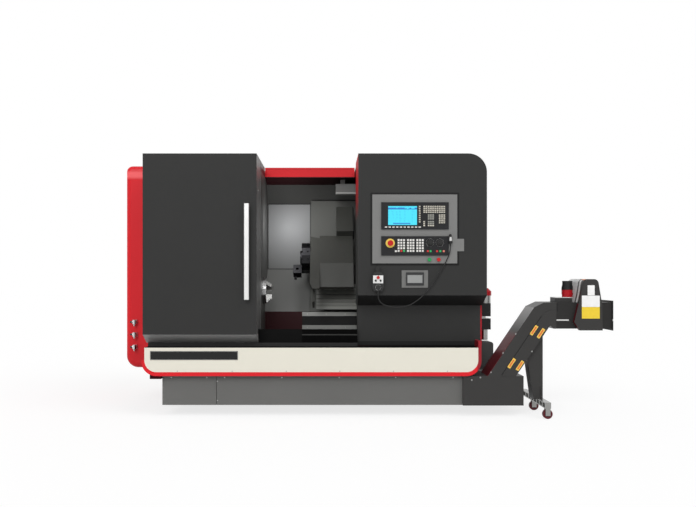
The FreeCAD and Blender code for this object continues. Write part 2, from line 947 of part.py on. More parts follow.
def make_enclosure():
    skin = s.enclosure_skin
    inset = s.service_door_inset
    left = cut(
        "left_shell",
        block("left_outer", (bay_left, 0), (bay_front, pan_back), (pan_top, enclosure_top)),
        block(
            "left_inner", (bay_left + skin, 1), (bay_front + skin, pan_back - skin),
            (pan_top - 1, enclosure_top - skin),
        ),
        *service_door("left_door", (bay_left + inset, -inset)),
    )
    node("left_enclosure", left)

    beam = block(
        "beam", (0, cabinet_left), (s.beam_front, s.beam_front + s.beam_depth),
        (s.beam_bottom, s.beam_bottom + s.beam_height),
    )
    node("roof_beam", beam)

    beam_back = s.beam_front + s.beam_depth
    middle = machine_right / 2
    shell = cut(
        "right_shell",
        block("right_outer", (0, machine_right), (s.cabinet_depth, pan_back), (pan_top, enclosure_top)),
        block(
            "right_inner", (-1, machine_right - skin), (s.cabinet_depth - 1, pan_back - skin),
            (pan_top - 1, enclosure_top - skin),
        ),
        block(
            "roof_notch", (-1, cabinet_left), (s.cabinet_depth - 1, beam_back),
            (enclosure_top - skin - 1, enclosure_top + 1),
        ),
        *service_door("middle_door", (inset, middle - inset / 2)),
        *service_door("right_door", (middle + inset / 2, machine_right - inset)),
    )
    cheek = block(
        "cheek", (machine_right - skin, machine_right), (s.cabinet_slope_run, s.cabinet_depth),
        (pan_top, s.cabinet_bottom),
    )
    node("right_enclosure", fuse("right_side", shell, cheek))


def make_end_cover():
    """Red cover over the left end: two corners and the front rim rounded, a raised hatch on its side."""
    back = s.end_cover_front + s.end_cover_depth
    cover = prism(
        "end_cover", "XZ", rectangle((end_cover_left, bay_left), (base_top + s.pan_floor, enclosure_top)),
        s.end_cover_front, back, rounds=(0,), radius=s.end_cover_low_radius,
    )
    round_edges(cover, "end_cover_crown", s.end_cover_top_radius, on_crown)
    round_edges(cover, "end_cover_front_rim", s.end_cover_rim, on_front_rim)
    hatch = block(
        "side_hatch", (left_reach, end_cover_left), (s.end_cover_front + s.hatch_inset, back - s.hatch_inset),
        (s.hatch_low, s.hatch_low + s.hatch_height),
    )
    node("left_end_cover", fuse("end_cover_solid", cover, hatch))


def on_crown(ends):
    return all(near(end.x, end_cover_left) and near(end.z, enclosure_top) for end in ends)


def on_front_rim(ends):
    return all(near(end.y, 0) for end in ends) and not all(near(end.x, bay_left) for end in ends)


def make_valves():
    """Three small air valves in a column on the front of the end cover."""
    x = end_cover_left + s.valve_across
    front = s.end_cover_front - s.valve_length
    radius = s.valve_radius
    parts = []
    for index in range(3):
        z = s.valve_height + index * s.valve_pitch
        seat = block(
            f"valve_seat_{index}", (x - radius, x + radius),
            (s.end_cover_front - s.valve_seat, s.end_cover_front), (z - radius, z + radius),
        )
        cup = polygon_rod(f"valve_cup_{index}", "z", (x, front, z - radius), 14, radius, radius * 2)
        tip = polygon_rod(f"valve_drain_{index}", "z", (x, front, z - radius * 2), 8, radius / 2, radius)
        stem = polygon_rod(f"valve_stem_{index}", "y", (x, front, z), 8, radius / 2, s.valve_length)
        stub = polygon_rod(
            f"valve_stub_{index}", "x", (x - radius * 2.2, front, z), 8, radius / 2, radius * 2,
        )
        parts.append(fuse(f"valve_{index}", seat, cup, tip, stem, stub))
    node("air_valves", *parts)


# ---------------------------------------------------------------- machining area


def make_bed():
    front_top = slope_at_depth(bed_off, bed_front)
    back_top = slope_point(s.bed_top_along, bed_off)
    profile = [
        (bed_front, base_top), (s.bed_back, base_top), (s.bed_back, back_top[1]), back_top, front_top,
    ]
    node("slant_bed", prism("bed", "YZ", profile, -s.bed_left, s.bed_right))

    guides = [
        block(
            f"guide_{name}", (s.guide_left, s.guide_left + s.guide_length),
            (along, along + s.guide_width), (bed_off, bed_off + s.guide_height),
        )
        for name, along in (("low", s.guide_low), ("high", s.guide_high))
    ]
    slanted_node("bed_rails", *guides)


def make_guards():
    x_end = machine_right - s.enclosure_skin
    back = splash_high[0]
    inner = slope_at_height(-s.swing - s.sheet, splash_low[1])
    inner_high = slope_at_depth(-s.swing - s.sheet, back + s.sheet)
    splash = [
        splash_low, splash_high, (back, s.back_wall_top), (back + s.sheet, s.back_wall_top), inner_high,
        inner,
    ]
    node("splash_panel", prism("splash", "YZ", splash, 0, s.splash_width))

    plate = block("guard_plate", (0, x_end), (guard_front, bed_front), (pan_top, splash_low[1]))
    ways = [
        block(
            f"way_{i}", (s.way_left, s.way_left + s.way_length), (guard_front - s.way_depth, guard_front),
            (top - s.way_height, top),
        )
        for i, top in enumerate((splash_low[1] - s.sheet, splash_low[1] - s.sheet - s.way_pitch))
    ]
    node("lower_guard", fuse("lower_guard_plate", plate, *ways))

    hood_front = back - s.hood_run
    hood_top = s.back_wall_top + s.hood_rise
    flange_back = s.beam_front + s.hood_flange
    hood = [
        (back, s.back_wall_top), (hood_front, hood_top), (flange_back, s.beam_bottom - s.sheet),
        (s.beam_front, s.beam_bottom - s.sheet), (s.beam_front, s.beam_bottom), (flange_back, s.beam_bottom),
        (hood_front + s.sheet / 2, hood_top + s.sheet), (back + s.sheet, s.back_wall_top),
    ]
    node("upper_guard", prism("hood", "YZ", hood, 0, x_end))


def make_spindle_wall():
    skin = s.enclosure_skin
    bed_low = slope_at_depth(bed_off, bed_front)
    bed_high = slope_point(s.bed_top_along, bed_off)
    gap = s.bed_margin
    profile = [
        (bay_front + skin, pan_top), (bed_front - gap, pan_top), (bed_front - gap, bed_low[1] + gap),
        (bed_high[0], bed_high[1] + gap), (pan_back - skin, bed_high[1] + gap),
        (pan_back - skin, enclosure_top - skin), (bay_front + skin, enclosure_top - skin),
    ]
    wall = prism("wall_sheet", "YZ", profile, -s.wall_thickness, 0)
    hole = rod(
        "wall_hole", "x", (-s.wall_thickness - 1, s.spindle_depth, s.spindle_height),
        s.chuck_radius + s.chuck_clearance, s.wall_thickness + 2,
    )
    node("spindle_wall", cut("wall", wall, hole))


def make_lamp():
    """Work light under the hood, on two hangers that follow the hood's slope."""
    hood_low = splash_high[0] - s.hood_run
    flange_back = s.beam_front + s.hood_flange
    drop = (s.beam_bottom - s.sheet - s.back_wall_top - s.hood_rise) / (hood_low - flange_back)
    front = flange_back + s.lamp_setback
    back = front + s.lamp_width
    top = s.lamp_bottom + s.lamp_height
    case = block("lamp_case", (s.lamp_left, s.lamp_left + s.lamp_length), (front, back), (s.lamp_bottom, top))
    hangers = []
    for index, left in enumerate(
        (s.lamp_left + s.hanger_inset, s.lamp_left + s.lamp_length - s.hanger_inset * 2),
    ):
        near = front + s.hanger_inset / 2
        far = back - s.hanger_inset / 2
        outline = [
            (near, top - 1), (far, top - 1), (far, s.beam_bottom - s.sheet - (far - flange_back) * drop),
            (near, s.beam_bottom - s.sheet - (near - flange_back) * drop),
        ]
        hangers.append(prism(f"lamp_hanger_{index}", "YZ", outline, left, left + s.hanger_inset))
    node("work_light", fuse("lamp", case, *hangers))


# ---------------------------------------------------------------- headstock, spindle, chuck

head_left = s.left_bay_width - s.enclosure_skin - s.tail_gap - s.cylinder_length - s.shaft_tail


def make_headstock():
    casting = block(
        "head_casting", (-head_left, -s.head_nose), (-s.head_half, s.head_half), (bed_off, s.head_above),
    )
    bore = rod(
        "head_bore", "x", (-head_left - 1, 0, 0), s.shaft_radius + s.shaft_fit,
        head_left - s.head_nose + 2,
    )
    slanted_node("headstock", cut("head", casting, bore))


def make_spindle():
    nose = rod(
        "spindle_nose", "x", (-s.head_nose + s.sliding_gap, 0, 0), s.nose_radius,
        s.nose_length - s.sliding_gap,
    )
    tail = -head_left - s.shaft_tail
    shaft = rod("spindle_shaft", "x", (tail, 0, 0), s.shaft_radius, -s.head_nose - tail + s.nose_length / 2)
    cylinder = rod(
        "spindle_cylinder", "x", (tail - s.cylinder_length, 0, 0), s.cylinder_radius, s.cylinder_length,
    )
    flange = rod(
        "spindle_flange", "x", (tail - s.cylinder_length * 0.7, 0, 0), s.cylinder_radius * 1.06,
        s.cylinder_flange,
    )
    bore = rod(
        "spindle_bore", "x", (tail - s.cylinder_length - 1, 0, 0), s.bar_bore,
        s.nose_length - s.head_nose - tail + s.cylinder_length + 2,
    )
    slanted_node("spindle", cut("spindle_solid", fuse("spindle_parts", nose, shaft, cylinder, flange), bore))


chuck_back = -s.head_nose + s.nose_length
chuck_front = chuck_back + s.chuck_length


def jaw_turn(thing, name, index):
    turned = group(name, thing)
    turned.Placement = Placement(Vector(), Rotation(Vector(1, 0, 0), 120.0 * index))
    return turned


def make_chuck():
    body = rod("chuck_drum", "x", (chuck_back, 0, 0), s.chuck_radius, s.chuck_length)
    bore = rod("chuck_bore", "x", (chuck_back - 1, 0, 0), s.bar_bore, s.chuck_length + 2)
    half = s.jaw_tongue_width / 2
    slot = block(
        "jaw_slot", (chuck_front - s.jaw_tongue - s.sliding_gap, chuck_front + 1),
        (-half - s.sliding_gap, half + s.sliding_gap), (0, s.chuck_radius + 1),
    )
    slots = [jaw_turn(slot, f"jaw_slot_{i}", i) for i in range(3)]
    slanted_node("chuck_body", cut("chuck", body, bore, *slots))

    face = chuck_front + s.sliding_gap
    profile = [
        (face, s.jaw_inner), (face, s.jaw_outer), (face + s.jaw_step, s.jaw_outer),
        (face + s.jaw_step, s.jaw_outer - s.jaw_step), (face + s.jaw_step * 2, s.jaw_outer - s.jaw_step),
        (face + s.jaw_step * 2, s.jaw_outer - s.jaw_step * 2),
        (face + s.jaw_height, s.jaw_outer - s.jaw_step * 2),
        (face + s.jaw_height, s.jaw_inner),
    ]
    jaw_block = prism("jaw_steps", "XZ", profile, -s.jaw_width / 2, s.jaw_width / 2)
    tongue = block(
        "jaw_key", (chuck_front - s.jaw_tongue, face + 1), (-half, half), (s.jaw_inner, s.jaw_outer),
    )
    jaw = fuse("jaw", jaw_block, tongue)
    for index in range(3):
        slanted_node(f"chuck_jaw_{index + 1}", jaw_turn(jaw, f"jaw_{index}", index))


# ---------------------------------------------------------------- carriage and turret

guide_top = bed_off + s.guide_height
saddle_face = -(s.swing - s.saddle_top)


def make_saddle():
    x = (s.saddle_left, s.saddle_left + s.saddle_length)
    casting = block(
        "saddle_casting", x, (-s.saddle_low, s.saddle_high), (-s.swing - s.saddle_base, saddle_face),
    )
    play = s.sliding_gap
    grooves = [
        block(
            f"saddle_groove_{i}", (x[0] - 1, x[1] + 1), (along - play, along + s.guide_width + play),
            (-s.swing - s.saddle_base - 1, guide_top + play),
        )
        for i, along in enumerate((s.guide_low, s.guide_high))
    ]
    rails = [
        block(
            f"cross_rail_{i}", (left, left + s.cross_rail_width), (s.cross_rail_low, s.cross_rail_high),
            (saddle_face - 1, saddle_face + s.cross_rail_height),
        )
        for i, left in enumerate(cross_rail_lefts())
    ]
    slanted_node("saddle", fuse("saddle_solid", cut("saddle_block", casting, *grooves), *rails))


def cross_rail_lefts():
    return (
        s.slide_left + s.cross_rail_inset - s.cross_rail_width / 2,
        s.slide_left + s.slide_length - s.cross_rail_inset - s.cross_rail_width / 2,
    )


def make_carriage_covers():
    skin = s.cover_skin
    face = saddle_face
    foot_end = slope_point(s.saddle_high - 2, face)
    upright = foot_end[0]
    bend = slope_at_depth(face + skin, upright - skin)
    profile = [
        slope_point(s.saddle_high - s.cover_flange, face), foot_end, (upright, s.cover_top),
        (upright - skin, s.cover_top), bend, slope_point(s.saddle_high - s.cover_flange, face + skin),
    ]
    cover = prism("saddle_cover", "YZ", profile, s.cover_left, s.cover_left + s.cover_length)

    off = -s.swing - s.sheet - s.slider_gap
    back = splash_high[0] + s.sheet + s.slider_gap
    slider = [
        slope_point(0, off), slope_at_depth(off, back), (back, s.back_wall_top - s.sheet),
        (back + s.sheet, s.back_wall_top - s.sheet), slope_at_depth(off - s.sheet, back + s.sheet),
        slope_point(0, off - s.sheet),
    ]
    node("carriage_covers", cover, prism("sliding_sheet", "YZ", slider, s.slider_left, s.saddle_left))


def make_turret_housing():
    """Cross slide, housing and neck; the front cover leans back so that it passes behind the cabinet."""
    play = s.sliding_gap
    low = saddle_face + s.cross_rail_height + play
    slide = block(
        "cross_slide", (s.slide_left, s.slide_left + s.slide_length), (s.slide_low, s.slide_high),
        (saddle_face + s.slide_lift, 1 - s.housing_back),
    )
    grooves = [
        block(
            f"slide_groove_{i}", (left - play, left + s.cross_rail_width + play),
            (s.slide_low - 1, s.slide_high + 1), (saddle_face, low),
        )
        for i, left in enumerate(cross_rail_lefts())
    ]
    neck_left = s.turret_left + s.turret_thickness + play
    neck_right = neck_left + s.neck_length
    housing = prism(
        "housing_block", "XY",
        rectangle((neck_right, neck_right + s.housing_length), (s.housing_low, s.housing_high)),
        -s.housing_back, s.housing_front,
    )
    neck_outline = [
        (neck_left, s.neck_waist), (neck_right + 1, s.neck_waist),
        (neck_right + 1, s.housing_high - s.fin_width), (neck_left, s.housing_high),
    ]
    neck = prism("turret_neck", "XY", neck_outline, -s.neck_half, s.neck_half)
    fin_left = neck_left + s.fin_inset
    shield_outline = [
        (fin_left, -s.neck_cover_low), (neck_right + 1, -s.neck_cover_low),
        (neck_right + 1, s.neck_waist + 1),
        (neck_left, s.neck_waist + 1), (neck_left, -s.fin_width),
    ]
    shield = prism("neck_shield", "XY", shield_outline, s.neck_half - s.neck_cover, s.neck_half)
    fin = block(
        "tail_fin", (fin_left, fin_left + s.fin_width), (-s.fin_low, s.neck_waist + 1),
        (-s.fin_back, s.fin_front),
    )
    foot_off = (
        s.spindle_depth - s.housing_drop * cos_slant - s.cabinet_depth - s.housing_clear
    ) / sin_slant
    cover_outline_points = [
        (-s.housing_drop, foot_off - s.housing_cover), (-s.housing_drop, foot_off),
        (s.housing_low + 1, s.housing_front), (s.housing_low + 1, s.housing_front - s.housing_cover),
    ]
    front_cover = prism(
        "housing_front_cover", "YZ", cover_outline_points, neck_right, neck_right + s.housing_length,
    )
    drive = prism(
        "drive_box", "XY",
        rectangle((s.drive_left, s.drive_left + s.drive_length), (s.housing_high - 1, s.drive_high)),
        s.drive_back, s.drive_front, rounds=(2, 3), radius=s.drive_round,
    )
    bore = rod(
        "hub_bore", "x", (neck_left - 1, s.turret_along, 0), s.turret_hub_radius + s.shaft_fit,
        s.turret_hub_length + play + 1,
    )
    body = fuse(
        "turret_block", cut("slide_block", slide, *grooves), housing, neck, shield, fin, front_cover, drive,
    )
    slanted_node("turret_housing", cut("turret_body", body, bore))


WAY_PLATES = 5


def make_way_cover():
    """Telescopic cover below the cross slide: sheets that lap and step up towards it."""
    x = (s.way_cover_left, s.way_cover_left + s.way_cover_length)
    pitch = (s.slide_low + s.way_cover_low) / WAY_PLATES
    plates = []
    for index in range(WAY_PLATES):
        low = index * pitch - s.way_cover_low
        lap = s.way_plate_lap if index < WAY_PLATES - 1 else 0
        base = index * s.way_plate_step - s.way_cover_above
        plates.append(block(f"way_plate_{index}", x, (low, low + pitch + lap), (base, base + s.way_plate)))
    slanted_node("way_cover", fuse("way_cover_solid", *plates))


def at_turret(thing, name, angle):
    """Turned about the turret's axis."""
    turned = group(name, thing)
    turned.Placement = Placement(Vector(), Rotation(Vector(1, 0, 0), angle))
    bind(turned, "Placement.Base.y", s.turret_along)
    return turned


STATIONS = 12


def make_turret():
    disc = polygon_rod(
        "turret_polygon", "x", (s.turret_left, 0, 0), STATIONS, s.turret_radius, s.turret_thickness,
    )
    hub = rod(
        "turret_hub", "x", (s.turret_left + s.turret_thickness - 1, 0, 0), s.turret_hub_radius,
        s.turret_hub_length + 1,
    )
    face = rod(
        "turret_face", "x", (s.turret_left - s.turret_face_length, 0, 0), s.turret_face_radius,
        s.turret_face_length + 1,
    )
    hole = polygon_rod(
        "coolant_hole", "y",
        (s.turret_left + s.turret_thickness * 0.72, s.turret_radius - s.coolant_depth, 0), 8,
        s.coolant_radius, s.coolant_depth + 10,
    )
    seat = block(
        "tool_slot", (s.turret_left - 1, s.turret_left + s.seat_depth),
        (s.turret_radius * 0.62, s.turret_radius + 5),
        (-s.seat_half, s.seat_half),
    )
    holes = []
    for station in range(STATIONS):
        angle = 360.0 / STATIONS * (station + 0.5)
        for thing in (hole, seat):
            turned = group(f"{thing.Name}_{station}", thing)
            turned.Placement = Placement(Vector(), Rotation(Vector(1, 0, 0), angle))
            holes.append(turned)
    solid = cut("turret_solid", fuse("turret_parts", disc, hub, face), *holes)
    slanted_node("turret_disc", at_turret(solid, "turret_placed", 0.0))


def make_tool_holders():
    """The one tool holder that is fitted, at the station nearest the workpiece."""
    right = s.turret_left
    left = right - s.tool_block_length
    half = s.tool_block_width / 2
    holder = prism(
        "holder_block", "XY", rectangle((left, right), (s.tool_block_inner, s.tool_block_outer)),
        -half, half, rounds=(3,), radius=s.tool_bore,
    )
    shank = block(
        "tool_shank", (left + s.tool_side / 2, left + s.tool_side * 1.5),
        (s.tool_block_outer - 1, s.tool_block_outer + s.tool_reach),
        (half - s.tool_side * 1.3, half - s.tool_side * 0.3),
    )
    middle = ((left + right) / 2, (s.tool_block_inner + s.tool_block_outer) / 2)
    bore = polygon_rod("holder_bore", "z", (*middle, -half - 1), 16, s.tool_bore, s.tool_block_width + 2)
    tool = cut("tool_holder", fuse("holder_and_tool", holder, shank), bore)
    slanted_node("tool_holders", at_turret(tool, "tool_in_place", 180.0))


# ---------------------------------------------------------------- control cabinet

plate_left = cabinet_left + s.plate_left
plate_top = s.cabinet_bottom + s.cabinet_height - s.plate_drop
plate_front = -s.plate_thickness
unit_left = plate_left + s.unit_left
unit_front = plate_front - s.unit_depth
display_top = plate_top - s.display_drop
controls_top = plate_top - s.controls_drop


def make_cabinet():
    bottom = s.cabinet_bottom
    top = bottom + s.cabinet_height
    box = prism(
        "cabinet_box", "XZ", rectangle((cabinet_left, machine_right), (bottom, top)),
        0, s.cabinet_depth, rounds=(2,), radius=s.cabinet_corner,
    )
    wedge = prism(
        "cabinet_slope", "YZ",
        [(-1, bottom - 1), (s.cabinet_slope_run, bottom - 1), (s.cabinet_slope_run, bottom),
         (0, bottom + s.cabinet_slope_drop), (-1, bottom + s.cabinet_slope_drop)],
        cabinet_left - 1, machine_right + 1,
    )
    hook_left = pendant_left + s.pendant_width / 2 - s.hook_width / 2
    hook_low = s.pendant_bottom + s.pendant_length + s.sliding_gap
    hook = block(
        "pendant_hook", (hook_left, hook_left + s.hook_width), (-s.pendant_depth * 0.6, 1),
        (hook_low, hook_low + s.hook_height),
    )
    lip = block(
        "pendant_hook_lip", (hook_left, hook_left + s.hook_width),
        (-s.pendant_depth * 0.6, -s.pendant_depth * 0.45),
        (hook_low, hook_low + s.hook_height * 1.5),
    )
    node("control_cabinet", fuse("cabinet", cut("cabinet_body", box, wedge), hook, lip))

    skirt = block(
        "skirt", (cabinet_left, machine_right - s.enclosure_skin),
        (s.cabinet_slope_run, s.cabinet_slope_run + s.skirt_depth), (pan_top, bottom),
    )
    node("cabinet_skirt", skirt)


pendant_x = plate_left + s.pendant_across
pendant_left = pendant_x - s.pendant_width / 2


def make_panel():
    plate = block(
        "plate_sheet", (plate_left, plate_left + s.plate_width), (plate_front, 0),
        (plate_top - s.plate_height, plate_top),
    )
    tab_left = plate_left + s.plate_width
    tab = block(
        "side_tab", (tab_left - 1, tab_left + s.tab_width), (plate_front, 0),
        (plate_top - s.tab_drop - s.tab_height, plate_top - s.tab_drop),
    )
    collars = [
        rod(
            f"cycle_collar_{i}", "y", (x, plate_front - s.collar_proud, cycle_z), s.cycle_collar,
            s.collar_proud + 1,
        )
        for i, x in enumerate(cycle_columns())
    ]
    sockets = [
        rod(
            f"cycle_socket_{i}", "y", (x, plate_front - s.collar_proud - 1, cycle_z),
            s.cycle_cap + s.sliding_gap,
            s.collar_proud + s.plate_thickness,
        )
        for i, x in enumerate(cycle_columns())
    ]
    node("control_plate", cut("plate", fuse("plate_parts", plate, tab, *collars), *sockets))

    display = block(
        "display_case", (unit_left, unit_left + s.unit_width), (unit_front, plate_front),
        (display_top - s.display_height, display_top),
    )
    screen_left = unit_left + s.screen_left
    screen_top = display_top - s.screen_drop
    recess = block(
        "screen_recess", (screen_left, screen_left + s.screen_width),
        (unit_front - 1, unit_front + s.bezel_depth),
        (screen_top - s.screen_height, screen_top),
    )
    node("display_unit", cut("display", display, recess))

    controls = block(
        "controls_case", (unit_left, unit_left + s.unit_width), (unit_front, plate_front),
        (controls_top - s.controls_height, controls_top),
    )
    ring = rod(
        "estop_ring", "y", (estop_x, unit_front - s.estop_ring_depth, estop_z), s.estop_ring,
        s.estop_ring_depth + 1,
    )
    socket = rod(
        "estop_socket", "y", (estop_x, unit_front - s.estop_ring_depth - 1, estop_z),
        s.estop_cap * 0.5 + s.sliding_gap, s.estop_ring_depth + s.unit_depth,
    )
    pins = [
        rod(
            f"knob_pin_hole_{i}", "y", (x, unit_front - 1, knob_z), s.axle_radius + s.shaft_fit,
            s.unit_depth - 1,
        )
        for i, x in enumerate(knob_columns())
    ]
    node("machine_panel", cut("controls", fuse("controls_parts", controls, ring), socket, *pins))
    make_keys(screen_left, screen_top)

    left = plate_left + s.panel_across
    low = s.cabinet_bottom + s.panel_rise
    frame = block(
        "service_frame", (left, left + s.panel_width), (-s.plate_thickness, 0), (low, low + s.panel_height),
    )
    inset = s.panel_bezel
    bezel = block(
        "service_bezel", (left + inset, left + s.panel_width - inset), (-s.plate_thickness * 2, 0),
        (low + inset / 2, low + s.panel_height - inset / 2),
    )
    view = block(
        "service_view", (left + inset + s.view_inset, left + s.panel_width - inset - s.view_inset),
        (-s.plate_thickness * 2 - 1, -s.plate_thickness * 2 + 2),
        (low + inset / 2 + s.view_margin, low + s.panel_height - inset / 2 - s.view_margin),
    )
    node("service_panel", cut("service", fuse("service_parts", frame, bezel), view))


estop_x = unit_left + s.estop_across
estop_z = controls_top - s.estop_drop
knob_z = controls_top - s.knob_drop
cycle_z = controls_top - s.cycle_drop


def cycle_columns():
    return (unit_left + s.cycle_across, unit_left + s.cycle_across + s.cycle_pitch)


def knob_columns():
    return (unit_left + s.knob_across, unit_left + s.knob_across + s.knob_pitch)


def key_field(name, left, top, columns, rows, pitch, side):
    """Keys in rows on a thin membrane that lies on the unit's face."""
    across, down = pitch
    wide, tall = side
    base = unit_front - s.key_depth / 3
    parts = [block(
        f"{name}_base", (left, left + (columns - 1) * across + wide), (base, unit_front),
        (top - (rows - 1) * down - tall, top),
    )]
    for column in range(columns):
        for row_number in range(rows):
            x = left + column * across
            z = top - row_number * down
            parts.append(block(
                f"{name}_{column}_{row_number}", (x, x + wide), (unit_front - s.key_depth, base + 0.2),
                (z - tall, z),
            ))
    return fuse(name, *parts)


def letter_keys(name, column, top, columns, rows):
    """Small keys on the grid of the upper unit, from a column and a height."""
    left = unit_left + s.letters_across + column * s.letter_pitch
    return key_field(
        name, left, top, columns, rows, (s.letter_pitch, s.letter_row), (s.letter_side, s.letter_tall),
    )


def square_keys(name, across, drop, columns, rows, pitch):
    """Square keys of the lower unit, from its left end and its top."""
    return key_field(
        name, unit_left + across, controls_top - drop, columns, rows, (pitch, s.key_pitch),
        (s.key_side, s.key_side),
    )


def make_keys(screen_left, screen_top):
    screen_right = screen_left + s.screen_width
    first_top = display_top - s.letters_drop
    second_top = first_top - 4 * s.letter_row - s.letters_gap
    third_top = second_top - 3 * s.letter_row - s.letters_gap
    fields = [
        key_field(
            "softkeys", unit_left + s.softkey_across, screen_top - s.screen_height - s.softkey_gap, 10, 1,
            (s.softkey_pitch, s.softkey_pitch), (s.softkey_width, s.softkey_height),
        ),
        key_field(
            "side_keys", screen_right + s.side_key_gap, screen_top, 1, 8,
            (s.side_key_pitch, s.side_key_pitch), (s.side_key_width, s.letter_tall),
        ),
        letter_keys("address_keys", 0, first_top, 10, 4),
        letter_keys("edit_keys", 2, second_top, 3, 3),
        letter_keys("number_keys", 7, second_top, 3, 5),
        letter_keys("page_keys", 0, third_top, 1, 3),
        letter_keys("cursor_keys", 2, third_top, 3, 3),
        square_keys("extra_key", s.keys_across - s.key_pitch, s.switch_drop, 1, 1, s.key_pitch),
        square_keys("lamp_keys", s.switch_left, s.switch_drop, 2, 1, s.key_pitch),
        square_keys("drive_keys", s.switch_right, s.switch_drop, 3, 1, s.switch_pitch),
    ]
    for index in range(3):
        across = s.keys_across + index * s.key_group_pitch
        fields.append(square_keys(f"mode_keys_{index}", across, s.keys_drop, 3, 5, s.key_pitch))
    node("panel_keys", *fields)


KNOB_SIDES = 20


def make_buttons():
    front = unit_front - s.estop_ring_depth
    stem = rod(
        "estop_stem", "y", (estop_x, front - s.estop_travel - 1, estop_z), s.estop_cap * 0.5,
        s.estop_travel + s.estop_seat + 1,
    )
    cap = rod(
        "estop_cap_disc", "y", (estop_x, front - s.estop_length, estop_z), s.estop_cap,
        s.estop_length - s.estop_travel - s.sliding_gap,
    )
    node("estop_button", fuse("estop", stem, cap))
    for name, x in zip(("start_button", "stop_button"), cycle_columns()):
        button = rod(
            f"{name}_cap", "y", (x, plate_front - s.cycle_depth, cycle_z), s.cycle_cap, s.cycle_depth,
        )
        node(name, button)
    for name, x in zip(("override_knob_left", "override_knob_right"), knob_columns()):
        skirt = polygon_rod(
            f"{name}_skirt", "y", (x, unit_front - s.knob_length * 0.3, knob_z), KNOB_SIDES, s.knob_radius,
            s.knob_length * 0.3 - s.sliding_gap,
        )
        grip = polygon_rod(
            f"{name}_grip", "y", (x, unit_front - s.knob_length, knob_z), KNOB_SIDES, s.knob_radius * 0.62,
            s.knob_length * 0.8,
        )
        bar = block(
            f"{name}_pointer", (x - s.pointer_half, x + s.pointer_half),
            (unit_front - s.knob_length - s.pointer_proud, unit_front - s.knob_length * 0.5),
            (knob_z - s.knob_radius * 0.6, knob_z + s.knob_radius * 0.8),
        )
        pin = rod(f"{name}_pin", "y", (x, unit_front - 2, knob_z), s.axle_radius, s.unit_depth - 1)
        node(name, fuse(f"{name}_solid", skirt, grip, bar, pin))


# ---------------------------------------------------------------- pendant and its cable

cable_y = -s.pendant_depth * 0.72
pendant_top = s.pendant_bottom + s.pendant_length


def make_pendant():
    half = s.pendant_width / 2
    hip = s.pendant_bottom + s.hip_rise
    shoulder = pendant_top - s.shoulder_drop
    outline = [
        (pendant_x - s.pendant_waist / 2, s.pendant_bottom),
        (pendant_x + s.pendant_waist / 2, s.pendant_bottom),
        (pendant_x + half, hip), (pendant_x + half, shoulder),
        (pendant_x + s.pendant_neck / 2, pendant_top), (pendant_x - s.pendant_neck / 2, pendant_top),
        (pendant_x - half, shoulder), (pendant_x - half, hip),
    ]
    body = prism(
        "pendant_case", "XZ", outline, -s.pendant_depth, 0, rounds=range(8), radius=s.pendant_round,
    )
    wheel_z = s.pendant_bottom + s.wheel_rise
    bore = rod(
        "pendant_bore", "y", (pendant_x, -s.pendant_depth - 1, wheel_z), s.axle_radius + s.shaft_fit,
        s.wheel_pin + 1,
    )
    gland = taper(
        "pendant_gland", "z", (pendant_x, cable_y, s.pendant_bottom - s.gland_length), s.gland_radius * 0.75,
        s.gland_radius, s.gland_length + 1,
    )
    face_front = -s.pendant_depth - s.face_depth
    face_low = s.pendant_bottom + s.face_low
    face = block(
        "pendant_face", (pendant_x - s.face_width / 2, pendant_x + s.face_width / 2),
        (face_front, 1 - s.pendant_depth),
        (face_low, face_low + s.face_height),
    )
    knob_front = face_front - s.selector_depth
    knobs = [
        polygon_rod(
            f"pendant_selector_{i}", "y",
            (pendant_x + side * s.selector_pitch / 2, knob_front, face_low + s.selector_rise),
            12, s.selector_radius, s.selector_depth + 1,
        )
        for i, side in enumerate((-1, 1))
    ]
    cross = polygon_rod(
        "pendant_cross_knob", "y", (pendant_x, knob_front, face_low + s.cross_rise), 12, s.cross_radius,
        s.selector_depth + 1,
    )
    node("pendant_body", fuse("pendant", cut("pendant_drilled", body, bore), gland, face, *knobs, cross))

    wheel = polygon_rod(
        "wheel_disc", "y", (pendant_x, -s.pendant_depth - s.wheel_depth, wheel_z), 24, s.wheel_radius,
        s.wheel_depth - s.sliding_gap,
    )
    grip = polygon_rod(
        "wheel_grip", "y", (pendant_x + s.wheel_radius * 0.62, -s.pendant_depth - s.wheel_depth * 2, wheel_z),
        8, s.grip_radius, s.wheel_depth + 1,
    )
    pin = rod("wheel_pin", "y", (pendant_x, -s.pendant_depth - 2, wheel_z), s.axle_radius, s.wheel_pin)
    node("pendant_wheel", fuse("wheel", wheel, grip, pin))


def cable_route():
    """Points of the cable from the pendant's gland to its plug, as it hangs in front of the cabinet."""
    x = pendant_x.number
    y = cable_y.number
    z = (s.pendant_bottom - s.gland_length).number
    steps = [
        (0, 0, 0), (0, 0, -34), (22, -2, -68), (71, -4, -91), (149, -4, -101), (231, -3, -87), (303, -2, -43),
        (366, 0, 21), (421, 1, 92), (469, 2, 169), (509, 2, 245), (541, 0, 317), (541, 0, 377),
    ]
    return [Vector(x + dx, y + dy, z + dz) for dx, dy, dz in steps]


